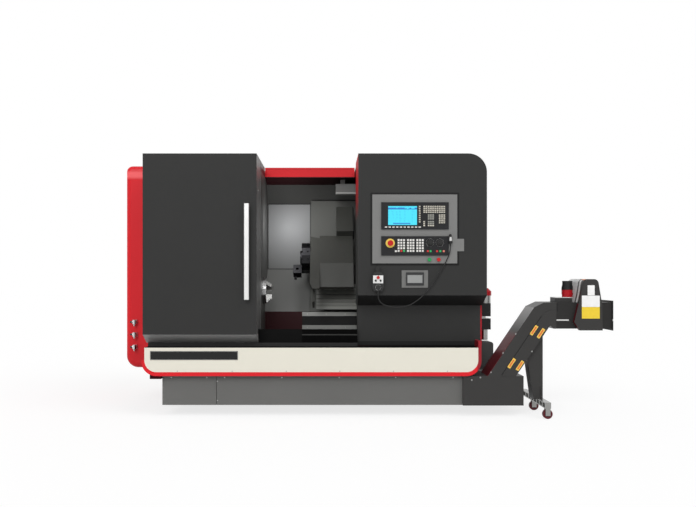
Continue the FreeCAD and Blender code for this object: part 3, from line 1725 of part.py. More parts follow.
def rounded_path(points):
    """Straight runs joined by tangent arcs, each as large as its two runs allow."""
    edges = []
    radii = []
    start = points[0]
    for before, corner, after in zip(points, points[1:], points[2:]):
        back = (before - corner).normalize()
        on = (after - corner).normalize()
        half_turn = (math.pi - back.getAngle(on)) / 2
        shorter = min(before.distanceToPoint(corner), corner.distanceToPoint(after))
        reach = 0.45 * shorter
        radius = reach / math.tan(half_turn)
        radii.append(round(radius, 1))
        centre_way = (back + on).normalize()
        middle = corner + centre_way * (radius / math.cos(half_turn) - radius)
        enter = corner + back * reach
        leave = corner + on * reach
        edges.append(Part.LineSegment(start, enter).toShape())
        edges.append(Part.Arc(enter, middle, leave).toShape())
        start = leave
    edges.append(Part.LineSegment(start, points[-1]).toShape())
    return Part.Wire(edges), radii


CABLE_SIDES = 8
PLUG_SIDES = 16


def cable_section(centre, radius):
    """Level polygon with the area of the cable's round section."""
    turn = 2 * math.pi / CABLE_SIDES
    reach = radius * math.sqrt(turn / math.sin(turn))
    corners = [
        centre + Vector(reach * math.cos(index * turn), reach * math.sin(index * turn), 0)
        for index in range(CABLE_SIDES)
    ]
    return Part.makePolygon([*corners, corners[0]])


def make_cable():
    points = cable_route()
    path, radii = rounded_path(points)
    radius = s.cable_diameter.number / 2
    tube = path.makePipeShell([cable_section(points[0], radius)], True, False)
    print("cable length", round(path.Length, 1), "radii", radii)
    print("cable volume ratio", round(tube.Volume / (math.pi * radius ** 2 * path.Length), 4))
    cable = document.addObject("Part::Feature", "cable_tube")
    cable.Shape = tube
    node("pendant_cable", cable)

    end = points[-1]
    x = as_size(end.x)
    low = as_size(end.z)
    plug = polygon_rod("plug_body", "z", (x, end.y, low), PLUG_SIDES, s.plug_radius, s.plug_length * 0.6)
    ring = polygon_rod(
        "plug_ring", "z", (x, end.y, low + s.plug_length * 0.15), PLUG_SIDES, s.plug_radius * 1.25,
        s.plug_ring,
    )
    elbow = polygon_rod(
        "plug_elbow", "z", (x, end.y, low + s.plug_length * 0.5), PLUG_SIDES, s.plug_radius * 0.8,
        s.plug_length * 0.5,
    )
    arm = polygon_rod(
        "plug_arm", "y", (x, end.y, low + s.plug_length), PLUG_SIDES, s.plug_radius * 0.8,
        plate_front - end.y,
    )
    node("cable_connector", fuse("connector", plug, ring, elbow, arm))


# ---------------------------------------------------------------- fittings on the right wall


def make_side_units():
    """Lubrication unit in a column on the right wall, and a rounded junction box below it."""
    x = machine_right
    y = (s.unit_front, s.unit_front + s.unit_depth_back)
    centre = (x + s.unit_centre, (y[0] + y[1]) / 2)
    regulator = block("regulator", (x, x + s.regulator_reach), y, (s.regulator_low, s.canister_low))
    neck = block(
        "regulator_neck", (x, centre[0]), (y[0] + s.bowl_radius, y[1] - s.bowl_radius),
        (s.regulator_split - 1, s.regulator_low + 1),
    )
    pump = block("oil_pump", (x, x + s.regulator_reach), y, (s.pump_low, s.regulator_split))
    bowl = polygon_rod(
        "oil_bowl", "z", (*centre, s.bowl_low), 6, s.bowl_radius, s.pump_low - s.bowl_low + 1,
    )
    cap_low = s.cap_top - s.cap_height
    canister = rod(
        "canister", "z", (*centre, s.canister_low - 1), s.canister_radius, cap_low - s.canister_low + 2,
    )
    cap = rod("cap_wall", "z", (*centre, cap_low), s.cap_radius, s.cap_height - s.bell_height)
    dome = taper(
        "cap_dome", "z", (*centre, s.cap_top - s.bell_height - 0.01), s.cap_radius,
        s.cap_radius - s.bell_height, s.bell_height,
    )
    unit = fuse("oil_unit", regulator, neck, pump, bowl, canister, cap, dome)

    junction_top = s.junction_low + s.junction_height
    junction_front = s.unit_front - s.junction_setback
    junction = prism(
        "junction_outer", "XZ", rectangle((pan_right, x + s.junction_reach), (s.junction_low, junction_top)),
        junction_front, junction_front + s.junction_depth, rounds=(1, 2), radius=s.junction_radius,
    )
    wall = block(
        "junction_clear", (pan_right - 1, x), (junction_front - 1, junction_front + s.junction_depth + 1),
        (pan_top, junction_top + 1),
    )
    node("side_units", unit, cut("junction_box", junction, wall))


# ---------------------------------------------------------------- chip conveyor

tank_left = plinth_right
tank_right = tank_left + s.tank_length
tank_top = base_top - s.tank_clearance
duct_back = s.conveyor_front + s.conveyor_width
head_top = s.head_bottom + s.head_height
cos_incline = cosine(s.incline)
sin_incline = sine(s.incline)
incline_left = tank_left + s.incline_foot


def underside_x(inset, z):
    """Where the underside of the incline stands at a height, drawn in by an inset."""
    return incline_left + (s.duct_height - inset) / sin_incline + (z - tank_top) * cos_incline / sin_incline


def duct_outline(inset, foot_z, right_end):
    """Side view of the duct, drawn in by an inset, from a level at its foot to the head's end."""
    run = cos_incline / sin_incline
    left = incline_left + inset / sin_incline
    top = head_top - inset
    low = s.head_bottom + inset
    elbow = low + s.duct_lift
    bend = head_top - s.duct_bend_drop - inset
    return [
        (underside_x(inset, foot_z), foot_z), (underside_x(inset, elbow), elbow),
        (head_left_end - s.duct_heel, low),
        (right_end, low), (right_end, top), (left + (bend - tank_top) * run + s.duct_bend, top),
        (left + (bend - tank_top) * run, bend), (left + (foot_z - tank_top) * run, foot_z),
    ]


def make_conveyor_frame():
    skin = s.conveyor_skin
    y = (s.conveyor_front, duct_back)
    inner_y = (s.conveyor_front + skin, duct_back - skin)
    tank = block(
        "tank_outer", (tank_left, tank_right), (s.conveyor_front, s.conveyor_front + s.tank_width),
        (s.floor_gap, tank_top),
    )
    hollow = block(
        "tank_hollow", (tank_left + skin, tank_right - skin),
        (s.conveyor_front + skin, s.conveyor_front + s.tank_width - skin),
        (s.floor_gap + skin, tank_top - skin),
    )
    foot = prism("tank_mouth", "XZ", duct_outline(skin, tank_top - skin * 3, head_left_end), *inner_y)
    node("conveyor_tank", cut("tank", tank, hollow, foot))

    outer = prism("duct_outer", "XZ", duct_outline(as_size(0), tank_top, head_left_end), *y)
    inner = prism("duct_inner", "XZ", duct_outline(skin, tank_top - 1, head_left_end + 1), *inner_y)
    guides = [
        cut(
            f"belt_guide_{i}",
            prism(
                f"guide_outer_{i}", "XZ", duct_outline(skin - 1, tank_top, head_left_end), low,
                low + s.guide_strip,
            ),
            prism(
                f"guide_inner_{i}", "XZ", duct_outline(s.belt_inset, tank_top - 1, head_left_end + 1),
                low - 1, low + s.guide_strip + 1,
            ),
        )
        for i, low in enumerate((inner_y[0] - 1, inner_y[1] + 1 - s.guide_strip))
    ]
    plate_top = head_top - s.side_plate_drop
    elbow = s.head_bottom + s.duct_lift
    side_plate = prism(
        "duct_side_plate", "XZ",
        [
            (underside_x(0, tank_top), tank_top), (underside_x(0, elbow), elbow),
            (head_left_end - s.duct_heel, s.head_bottom), (head_left_end, s.head_bottom),
            (head_left_end, plate_top),
            (underside_x(0, plate_top) - s.side_plate_width, plate_top),
            (underside_x(0, tank_top) - s.side_plate_width, tank_top),
        ],
        s.conveyor_front - s.side_plate_proud, s.conveyor_front + 1, rounds=(5,), radius=s.side_plate_radius,
    )
    node("conveyor_duct", fuse("duct_with_guides", cut("duct", outer, inner), side_plate, *guides))

    x_end = duct_right_end
    head = block("head_outer", (head_left_end, x_end), y, (s.head_bottom, head_top))
    head_inner = block(
        "head_inner", (head_left_end - 1, x_end + 1), inner_y, (s.head_bottom + skin, head_top - skin),
    )
    mouth = block(
        "mouth_cut", (x_end - s.mouth_length, x_end - skin * 2), inner_y,
        (s.head_bottom - 1, s.head_bottom + skin + 1),
    )
    flange = cut(
        "mouth_flange_ring",
        block(
            "flange_outer", (x_end - skin, x_end),
            (s.conveyor_front - s.mouth_flange, duct_back + s.mouth_flange),
            (s.head_bottom - s.mouth_flange, head_top + s.mouth_flange),
        ),
        block(
            "flange_inner", (x_end - skin - 1, x_end + 1), inner_y, (s.head_bottom + skin, head_top - skin),
        ),
    )
    shaft_hole = rod(
        "shaft_hole", "y", (drum_x, s.conveyor_front - 1, drum_z), s.drum_shaft + s.shaft_fit,
        s.conveyor_width + 2,
    )
    ledge_low = s.head_bottom + s.ledge_rise
    ledge = block(
        "head_ledge", (head_left_end, head_left_end + s.ledge_length),
        (s.conveyor_front - s.ledge_depth, s.conveyor_front + 1), (ledge_low, ledge_low + s.ledge_height),
    )
    sheets = fuse("head_sheets", head, flange, ledge)
    node("conveyor_head", cut("head_shell", sheets, head_inner, mouth, shaft_hole))


drum_x = duct_right_end - s.drum_back
drum_z = s.head_bottom + s.head_height / 2


def make_belt():
    y_low = s.conveyor_front + (s.conveyor_width - s.belt_width) / 2
    y = (y_low, y_low + s.belt_width)
    inset = s.belt_inset
    low = s.floor_gap + inset
    end = drum_x + s.drum_radius + s.belt_turn
    outer = prism("belt_outer", "XZ", duct_outline(inset, low, end + s.belt_thickness), *y)
    inner_low = low + s.belt_thickness
    inner = prism(
        "belt_inner", "XZ", duct_outline(inset + s.belt_thickness, inner_low, end), y[0] - 1, y[1] + 1,
    )
    node("slat_belt", cut("belt", outer, inner))

    drum_y = s.conveyor_front + (s.conveyor_width - s.drum_length) / 2
    drum = polygon_rod("drum_core", "y", (drum_x, drum_y, drum_z), 8, s.drum_radius, s.drum_length)
    shaft = rod(
        "drum_axle", "y", (drum_x, s.conveyor_front - s.axle_reach, drum_z), s.drum_shaft,
        s.axle_reach + s.conveyor_width + s.axle_end,
    )
    sprocket = polygon_rod(
        "drum_sprocket", "y", (drum_x, s.conveyor_front - s.axle_reach, drum_z), 18, s.sprocket_radius,
        s.sprocket_thickness,
    )
    node("conveyor_drum", fuse("drum", drum, shaft, sprocket))


guard_right = duct_right_end - s.guard_inset
guard_low = s.head_bottom - s.guard_foot
guard_top = s.head_bottom + s.guard_rise


def guard_crown(inset):
    """Right hip, top and left shoulder of the guard's outline, drawn in by its sheet or by nothing."""
    top_right = guard_right - s.guard_top_inset
    return [
        (top_right - inset, guard_top - inset), (top_right - s.guard_top_width + inset, guard_top - inset),
        (guard_right - s.guard_shoulder_width + inset, s.head_bottom + s.guard_shoulder),
    ]


def guard_outline(inset):
    return [
        (guard_right - s.guard_foot_width + inset / 2, guard_low + inset),
        (guard_right - inset, guard_low + inset),
        (guard_right - s.guard_hip_inset - inset, s.head_bottom + s.guard_hip),
        *guard_crown(inset),
        (guard_right - s.guard_belly_width + inset, s.head_bottom + s.guard_belly),
    ]


def cover_outline(inset, low):
    return [
        (guard_right - s.guard_cover_width + inset, low), (guard_right - s.guard_hip_inset - inset, low),
        *guard_crown(inset),
    ]


def make_chain_guard():
    """Slanted box over the drive chain, on the front of the head, and the deep cover behind its top."""
    none = as_size(0)
    skin = s.guard_sheet
    arch = s.guard_arch
    back = duct_back + s.guard_back
    front = prism(
        "guard_front_box", "XZ", guard_outline(none), -s.guard_front, s.conveyor_front, rounds=(3, 4),
        radius=arch,
    )
    pocket = prism(
        "guard_pocket", "XZ", guard_outline(skin), skin - s.guard_front, s.conveyor_front + 1,
        rounds=(3, 4), radius=arch - skin,
    )
    cover = prism(
        "guard_upper_box", "XZ", cover_outline(none, head_top), s.conveyor_front, back, rounds=(2, 3),
        radius=arch,
    )
    hollow = prism(
        "guard_upper_hollow", "XZ", cover_outline(skin, head_top - 1), s.conveyor_front - 1, back - skin,
        rounds=(2, 3), radius=arch - skin,
    )
    node("chain_guard", cut("guard", fuse("guard_boxes", front, cover), pocket, hollow))


MOTOR_SIDES = 20


def make_conveyor_motor():
    left = head_left_end + s.mount_inset
    x = left + s.motor_inset
    y = s.conveyor_front + s.motor_setback
    mount = block(
        "motor_mount", (left, left + s.mount_length), (y - s.mount_depth / 2, y + s.mount_depth / 2),
        (head_top, head_top + s.mount_height),
    )
    z = head_top + s.mount_height
    length = s.motor_length
    body = polygon_rod("motor_body", "z", (x, y, z - 1), MOTOR_SIDES, s.motor_radius, length * 0.72 + 1)
    collar = polygon_rod(
        "motor_collar", "z", (x, y, z + length * 0.16), MOTOR_SIDES, s.motor_radius * 1.06,
        s.motor_band,
    )
    fan = polygon_rod(
        "motor_fan_cover", "z", (x, y, z + length * 0.7), MOTOR_SIDES, s.motor_radius * 0.94, length * 0.3,
    )
    terminal_low = z + s.terminal_rise
    terminal = block(
        "motor_terminal", (x - s.terminal_width / 2, x + s.terminal_width / 2),
        (y, y + s.motor_radius + s.terminal_reach), (terminal_low, terminal_low + s.terminal_height),
    )
    node("conveyor_motor", fuse("motor", mount, body, collar, fan, terminal))


BAR_WINDOWS = 9
bar_low = s.caster_radius * 2 + s.bar_clearance
bar_high = bar_low + s.bar_height


def leg_outline(inset, low):
    """Side view of the leg, drawn in by its sheet or by nothing; the duct cuts off its top."""
    top = s.head_bottom + inset
    return [
        (leg_right - s.leg_foot_width + inset, low), (leg_right - inset, low), (leg_right - inset, top),
        (leg_left + inset, top), (leg_left + inset, s.leg_knee),
    ]


def make_leg():
    none = as_size(0)
    sheet_metal = s.leg_sheet
    y = (s.conveyor_front + s.leg_front, s.conveyor_front + s.leg_front + s.leg_depth)
    plate = prism("leg_plate", "XZ", leg_outline(none, bar_high), *y)
    hollow = prism(
        "leg_hollow", "XZ", leg_outline(sheet_metal, bar_high + s.bar_wall), y[0] + sheet_metal, y[1] + 1,
    )
    clear = prism("leg_clear", "XZ", duct_outline(none, tank_top, head_left_end), y[0] - 1, y[1] + 2)
    adjuster = polygon_rod(
        "leg_adjuster", "z", (caster_x - s.adjuster_radius, y[0] - s.adjuster_radius * 2, bar_high - 1), 10,
        s.adjuster_radius, s.adjuster_height,
    )
    forks = [caster_fork(index, centre) for index, centre in enumerate(caster_rows())]
    channel = cut("leg_frame", plate, hollow, clear)
    node("conveyor_leg", fuse("leg", channel, cross_bar(), adjuster, *forks))
    for index, (name, centre) in enumerate(zip(("caster_wheel_front", "caster_wheel_rear"), caster_rows())):
        tyre = rod(
            f"tyre_{index}", "y", (caster_x, centre - s.caster_width / 2, s.caster_radius), s.caster_radius,
            s.caster_width,
        )
        bore = rod(
            f"tyre_bore_{index}", "y", (caster_x, centre - s.caster_width, s.caster_radius),
            s.axle_radius + s.shaft_fit, s.caster_width * 2,
        )
        node(name, cut(f"wheel_{index}", tyre, bore))


def cross_bar():
    """Bar that carries the leg on its two casters, with a row of windows through it."""
    half = s.bar_width / 2
    bar = block(
        "cross_bar_solid", (caster_x - half, caster_x + half), (front_reach, front_reach + s.bar_length),
        (bar_low, bar_high),
    )
    pitch = s.bar_length / BAR_WINDOWS
    windows = []
    for index in range(BAR_WINDOWS):
        low = front_reach + index * pitch + (pitch - s.bar_window) / 2
        windows.append(block(
            f"bar_window_{index}", (caster_x - half - 1, caster_x + half + 1), (low, low + s.bar_window),
            (bar_low + s.bar_wall, bar_high - s.bar_wall),
        ))
    return cut("cross_bar", bar, *windows)


def caster_fork(index, centre):
    inner = s.caster_width / 2 + s.caster_clearance
    yoke = block(
        f"fork_{index}", (caster_x - s.fork_half_width, caster_x + s.fork_half_width),
        (centre - fork_half, centre + fork_half), (s.fork_foot, bar_low + 1),
    )
    gap = block(
        f"fork_gap_{index}", (caster_x - s.fork_half_width - 1, caster_x + s.fork_half_width + 1),
        (centre - inner, centre + inner), (0, s.caster_radius * 2 + s.caster_clearance),
    )
    axle = rod(
        f"fork_axle_{index}", "y", (caster_x, centre - fork_half, s.caster_radius), s.axle_radius,
        fork_half * 2,
    )
    return fuse(f"caster_fork_{index}", cut(f"fork_shape_{index}", yoke, gap), axle)


def caster_rows():
    return (-s.caster_front, -s.caster_front + s.caster_pitch)


# ---------------------------------------------------------------- build and write

make_feet()
make_base()
make_pan()
make_apron()
make_rail()
make_door()
make_enclosure()
make_end_cover()
make_valves()
make_bed()
make_guards()
make_spindle_wall()
make_lamp()
make_headstock()
make_spindle()
make_chuck()
make_saddle()
make_carriage_covers()
make_turret_housing()
make_way_cover()
make_turret()
make_tool_holders()
make_cabinet()
make_panel()
make_buttons()
make_pendant()
make_cable()
make_side_units()
make_conveyor_frame()
make_belt()
make_chain_guard()
make_conveyor_motor()
make_leg()

document.recompute()

failed = [thing.Label for thing in document.Objects if {"Invalid", "Error"} & set(thing.State)]
if failed:
    raise RuntimeError(f"failed: {failed}")
for label, thing in nodes.items():
    if thing.Shape.isNull() or not thing.Shape.isValid():
        raise RuntimeError(f"bad shape: {label}")

os.makedirs("parts", exist_ok=True)
for label, thing in nodes.items():
    thing.Shape.exportStep(f"parts/{label}.step")
print(len(nodes), "nodes")
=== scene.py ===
import math

import bmesh
import bpy
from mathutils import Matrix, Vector


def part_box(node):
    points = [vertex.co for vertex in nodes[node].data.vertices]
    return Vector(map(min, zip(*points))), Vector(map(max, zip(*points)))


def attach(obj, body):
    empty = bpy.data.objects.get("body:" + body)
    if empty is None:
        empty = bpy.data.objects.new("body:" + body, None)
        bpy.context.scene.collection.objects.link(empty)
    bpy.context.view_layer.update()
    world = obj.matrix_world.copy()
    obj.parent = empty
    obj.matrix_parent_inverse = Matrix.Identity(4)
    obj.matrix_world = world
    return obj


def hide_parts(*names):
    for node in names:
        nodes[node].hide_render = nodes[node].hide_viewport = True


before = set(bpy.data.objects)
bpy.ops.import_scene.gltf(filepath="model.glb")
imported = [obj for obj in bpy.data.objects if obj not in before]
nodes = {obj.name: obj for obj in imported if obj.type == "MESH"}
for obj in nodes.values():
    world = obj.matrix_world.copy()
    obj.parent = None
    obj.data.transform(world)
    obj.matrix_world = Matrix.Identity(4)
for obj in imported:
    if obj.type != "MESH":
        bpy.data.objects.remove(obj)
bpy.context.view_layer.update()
scene = bpy.context.scene

# The layout is in millimetres from the machining area's left wall, the door's front face and the floor.
LEFT_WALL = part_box("spindle_wall")[1].x
DOOR_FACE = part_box("left_enclosure")[0].y - 0.335


def at(x, y, z):
    """A place of the layout, in the frame's metres."""
    return Vector((LEFT_WALL + x / 1000, DOOR_FACE + y / 1000, z / 1000))


def mm(size):
    """A size in millimetres, in the frame's metres."""
    return size / 1000


def layout_box(name):
    """Low and high corner of a CAD node, in the layout's millimetres."""
    origin = at(0, 0, 0)
    return [[(corner[axis] - origin[axis]) * 1000 for axis in range(3)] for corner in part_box(name)]


def shade(colour, amount):
    """A colour made darker or lighter by a factor."""
    return tuple(min(1.0, part * amount) for part in colour)


# ---------------------------------------------------------------- camera

camera = bpy.data.objects.new("camera", bpy.data.cameras.new("camera"))
scene.collection.objects.link(camera)
camera.data.lens = 41.38
camera.data.sensor_width = 36
camera.data.shift_x = 0.0302
camera.data.shift_y = 0.0338
camera.data.clip_end = 60
camera.location = at(526, -6000, 1050.6)
camera.rotation_euler = (math.radians(90), 0, 0)
scene.camera = camera
scene.view_settings.view_transform = "Standard"


# ---------------------------------------------------------------- paint shop


class Value:
    """A shader socket that adds, scales and compares like a number."""

    def __init__(self, paint, socket):
        self.paint = paint
        self.socket = socket

    def math(self, operation, *others):
        return self.paint.node("ShaderNodeMath", {"operation": operation}, self, *others)

    def __add__(self, other):
        return self.math("ADD", other)

    __radd__ = __add__

    def __sub__(self, other):
        return self.math("SUBTRACT", other)

    def __rsub__(self, other):
        return self.math("MULTIPLY_ADD", -1.0, other)

    def __mul__(self, other):
        return self.math("MULTIPLY", other)

    __rmul__ = __mul__

    def __mod__(self, other):
        return self.math("FLOORED_MODULO", other)

    def __gt__(self, other):
        return self.math("GREATER_THAN", other)

    def __lt__(self, other):
        return self.math("LESS_THAN", other)

    def root(self):
        return self.math("SQRT")

    def fade(self, low, high):
        """0 at low, 1 at high, straight in between."""
        return self.paint.node("ShaderNodeMapRange", {"clamp": True}, self, low, high, 0.0, 1.0)


class Paint:
    """One finish: a material, its surface shader and the pattern nodes that feed it."""

    def __init__(self, name, colour, rough, metal=0.0):
        self.material = bpy.data.materials.new(name)
        self.material.use_nodes = True
        self.tree = self.material.node_tree
        self.surface = self.tree.nodes["Principled BSDF"]
        self.colour = colour
        self.rough = rough
        self.metal = metal
        self.coordinates = None
        self.xyz = None

    def node(self, kind, settings=None, *inputs, output=0, **named):
        """Any node: its settings first, then what feeds its sockets; gives one output as a value."""
        made = self.tree.nodes.new(kind)
        for key, setting in (settings or {}).items():
            setattr(made, key, setting)
        for index, given in enumerate(inputs):
            self.feed(made.inputs[index], given)
        for key, given in named.items():
            self.feed(made.inputs[key.replace("_", " ")], given)
        return Value(self, made.outputs[output])

    def feed(self, socket, given):
        if isinstance(given, Value):
            self.tree.links.new(given.socket, socket)
        elif socket.type == "RGBA" and len(given) == 3:
            socket.default_value = (*given, 1)
        else:
            socket.default_value = given

    def set(self, **sockets):
        for key, given in sockets.items():
            self.feed(self.surface.inputs[key.replace("_", " ")], given)
        return self

    def place(self):
        """X, Y and Z of the piece, in metres."""
        if self.xyz is None:
            self.coordinates = self.node("ShaderNodeTexCoord", output="Object")
            self.xyz = [
                self.node("ShaderNodeSeparateXYZ", None, self.coordinates, output=letter) for letter in "XYZ"
            ]
        return self.xyz

    def noise(self, scale, detail=3.0, stretch=None, roughness=0.5):
        self.place()
        vector = self.coordinates
        if stretch:
            vector = self.node("ShaderNodeMapping", None, Vector=vector, Scale=stretch)
        return self.node(
            "ShaderNodeTexNoise", None, Vector=vector, Scale=scale, Detail=detail, Roughness=roughness,
        )

    def mix(self, low, high, factor):
        """Blend of two colours."""
        made = self.tree.nodes.new("ShaderNodeMix")
        made.data_type = "RGBA"
        for socket, given in zip((made.inputs[0], made.inputs[6], made.inputs[7]), (factor, low, high)):
            self.feed(socket, given)
        return Value(self, made.outputs[2])

    def bump(self, height, strength=0.3, distance=0.001):
        return self.set(
            Normal=self.node("ShaderNodeBump", None, Strength=strength, Distance=distance, Height=height),
        )

    def over(self, mask, colour=None, rough=None, metal=None):
        """Another finish laid over this one where the mask is 1."""
        if colour is not None:
            self.colour = self.mix(self.colour, colour, mask)
        if rough is not None:
            self.rough = self.rough + (rough - self.rough) * mask
        if metal is not None:
            self.metal = mask * (metal - self.metal) + self.metal

    def box(self, x=None, y=None, z=None):
        """1 inside limits of the layout in millimetres, each a pair whose open side is None."""
        origin = at(0, 0, 0)
        inside = None
        for axis, limits in enumerate((x, y, z)):
            for side, limit in enumerate(limits or (None, None)):
                if limit is None:
                    continue
                value = self.place()[axis]
                edge = origin[axis] + mm(limit)
                test = value > edge if side == 0 else value < edge
                inside = test if inside is None else inside * test
        return inside

    def across(self, x, z):
        """Distance in metres from a line that runs front to back."""
        centre = at(x, 0, z)
        place = self.place()
        dx = place[0] - centre.x
        dz = place[2] - centre.z
        return (dx * dx + dz * dz).root()

    def disc(self, x, z, radius):
        return self.across(x, z) < mm(radius)

    def height(self):
        """Height over the floor in millimetres."""
        return self.place()[2] * 1000

    def finish(self):
        self.set(Base_Color=self.colour, Roughness=self.rough, Metallic=self.metal)
        return self.material

    def wear(self, *pieces):
        """Give this finish to CAD nodes by name, or to new pieces."""
        material = self.finish()
        for piece in pieces:
            target = nodes[piece] if isinstance(piece, str) else piece
            if target.material_slots:
                for held in target.material_slots:
                    held.material = material
            else:
                target.data.materials.append(material)


def powder_coat(name, colour, rough=0.55, grain=0.1, spread=0.06, specular=0.2):
    """Baked powder paint: fine orange peel, a faint cloudiness and patches that are a little glossier."""
    paint = Paint(name, None, None)
    cloud = paint.noise(2.6, 4)
    paint.colour = paint.mix(shade(colour, 1 - spread), shade(colour, 1 + spread), cloud)
    paint.rough = paint.noise(26, 4) * 0.12 + (rough - 0.06)
    paint.set(Specular_IOR_Level=specular)
    return paint.bump(paint.noise(620, 2) + paint.noise(90, 2) * 0.5, grain, 0.0006)


def brushed_metal(name, colour, stretch, rough=0.3, scale=60.0):
    """Ground or brushed steel with its scratches along one way."""
    paint = Paint(name, None, None, 1.0)
    lines = paint.noise(scale, 5, stretch, 0.65)
    smears = paint.noise(9, 3)
    paint.colour = paint.mix(shade(colour, 0.82), shade(colour, 1.1), lines * 0.7 + smears * 0.3)
    paint.rough = lines * 0.16 + smears * 0.1 + (rough - 0.13)
    return paint.bump(lines, 0.12, 0.0004)


def moulded_plastic(name, colour, rough=0.45, grain=0.1, specular=0.3):
    """Injection moulded plastic with a fine spark texture."""
    paint = Paint(name, None, None)
    cloud = paint.noise(30, 3)
    paint.colour = paint.mix(shade(colour, 0.93), shade(colour, 1.07), cloud)
    paint.rough = cloud * 0.1 + (rough - 0.05)
    paint.set(Specular_IOR_Level=specular)
    return paint.bump(paint.noise(1500, 2), grain, 0.0004)


def cast_paint(name, colour, rough=0.5):
    """Painted iron casting: rough skin under thick paint, with a greasy sheen in places."""
    paint = Paint(name, None, None)
    grease = paint.noise(5, 4)
    paint.colour = paint.mix(shade(colour, 0.86), shade(colour, 1.1), grease)
    paint.rough = grease * 0.22 + (rough - 0.11)
    paint.set(Specular_IOR_Level=0.25)
    return paint.bump(paint.noise(140, 5) + paint.noise(700, 2) * 0.4, 0.16, 0.0009)


# ---------------------------------------------------------------- finishes of the CAD nodes

CHARCOAL = (0.024, 0.024, 0.0235)
RED = (0.69, 0.010, 0.018)
# MAROON is red paint as it looks in shade: painted under the roof and on the lower guard; the tray's foot
# also takes it.
MAROON = (0.03, 0.004, 0.006)
SILVER = (0.62, 0.62, 0.61)
ZINC = (0.5, 0.5, 0.49)
BLACK = (0.008, 0.008, 0.008)
DEEP_BLACK = (0.012, 0.012, 0.012)
SEAM_BLACK = (0.02, 0.02, 0.02)
UNIT_BLACK = (0.019, 0.019, 0.0205)
SHEET_GREY = (0.13, 0.132, 0.128)
STEEL = (0.34, 0.34, 0.33)
DARK_RED = (0.34, 0.010, 0.018)


def painted_roof_shade(paint):
    """Painted shade under the roof: maroon on the left that goes dark to the right."""
    across = paint.place()[0].fade(at(200, 0, 0).x, at(720, 0, 0).x)
    return paint.mix(MAROON, (0.004, 0.002, 0.002), across)


def paint_door():
    """Charcoal door; its right return is painted lighter, and the slope at its foot is painted lighter as a
    painted reflection of the bright floor.
    """
    door = powder_coat("door_powder_coat", CHARCOAL)
    # The right return is painted a lighter grey.
    door.over(door.box(x=(-2.5, None), y=(1.5, None)), (0.138, 0.138, 0.136), 0.42)
    # Painted reflection: the slope at the door's foot is painted lighter, standing for the bright floor it
    # faces.
    door.over(door.box(y=(0.5, 147), z=(None, 618.5)), (0.3, 0.3, 0.297), 0.4)
    door.wear("door_shell")
    brushed_metal("handle_steel", (0.72, 0.72, 0.71), (60, 60, 1), 0.32).wear("door_handle")


def paint_cabinet():
    """Charcoal cabinet with a red left return that fades to grey, its slope painted near black as painted
    shade, and the skirt below.
    """
    cabinet = powder_coat("cabinet_powder_coat", CHARCOAL)
    height = cabinet.height()
    side = cabinet.mix((0.07, 0.072, 0.07), RED, height.fade(1500, 1760))
    cabinet.over(cabinet.box(x=(None, 761.6), y=(1, None)), side)
    # Painted shade: the downward slope at the cabinet's foot is painted near black.
    cabinet.over(cabinet.box(y=(1.5, 199.5), z=(None, 914)), DEEP_BLACK, 0.6)
    cabinet.wear("control_cabinet")
    skirt = powder_coat("skirt_powder_coat", CHARCOAL)
    skirt.over(skirt.box(z=(None, 554)), BLACK, 0.6)
    skirt.wear("cabinet_skirt")


def paint_body():
    """Red sheet with a painted highlight along the top of the left end cover and painted shade low on it,
    cream apron, grey plinth, black tray.
    """
    red = powder_coat("red_powder_coat", RED, 0.4, 0.07, 0.05, 0.25)
    height = red.height()
    # Painted shade: the left end cover is painted darker towards its foot.
    red.over(height.fade(560, 330) * red.box(x=(None, -854)), shade(RED, 0.8))
    # Painted highlight: a lighter band along the rounded top of the left end cover.
    red.over(height.fade(1836, 1860) * height.fade(1914, 1892), (0.95, 0.13, 0.14), 0.3)
    red.over(red.box(x=(1655, None)), (0.29, 0.010, 0.018))
    red.wear("left_end_cover", "apron_trim")
    beam = powder_coat("beam_powder_coat", shade(RED, 0.88), 0.4, 0.07, 0.05, 0.25)
    beam.over(beam.box(z=(1965.5, 1969)), shade(RED, 0.5))
    # Painted shade on the beam's underside.
    beam.over(beam.box(z=(None, 1901)), painted_roof_shade(beam), 0.6)
    beam.wear("roof_beam")
    powder_coat("cream_powder_coat", (0.76, 0.735, 0.64), 0.45, 0.08, 0.02).wear("apron")
    powder_coat("plinth_paint", (0.135, 0.135, 0.13)).wear("base_panels", "base_casting")

    tray = powder_coat("tray_paint", (0.003, 0.003, 0.003), 0.85, 0.1, 0.06, 0.03)
    tray.over(tray.box(x=(None, 334), z=(520, None)), (0.008, 0.008, 0.008))
    tray.over(tray.box(x=(334, None), y=(None, 151), z=(603, 611)), (0.055, 0.055, 0.053))
    tray.over(tray.box(z=(None, 519)), MAROON)
    tray.wear("chip_pan")
    powder_coat("rail_paint", (0.02, 0.02, 0.02)).wear("door_rail")


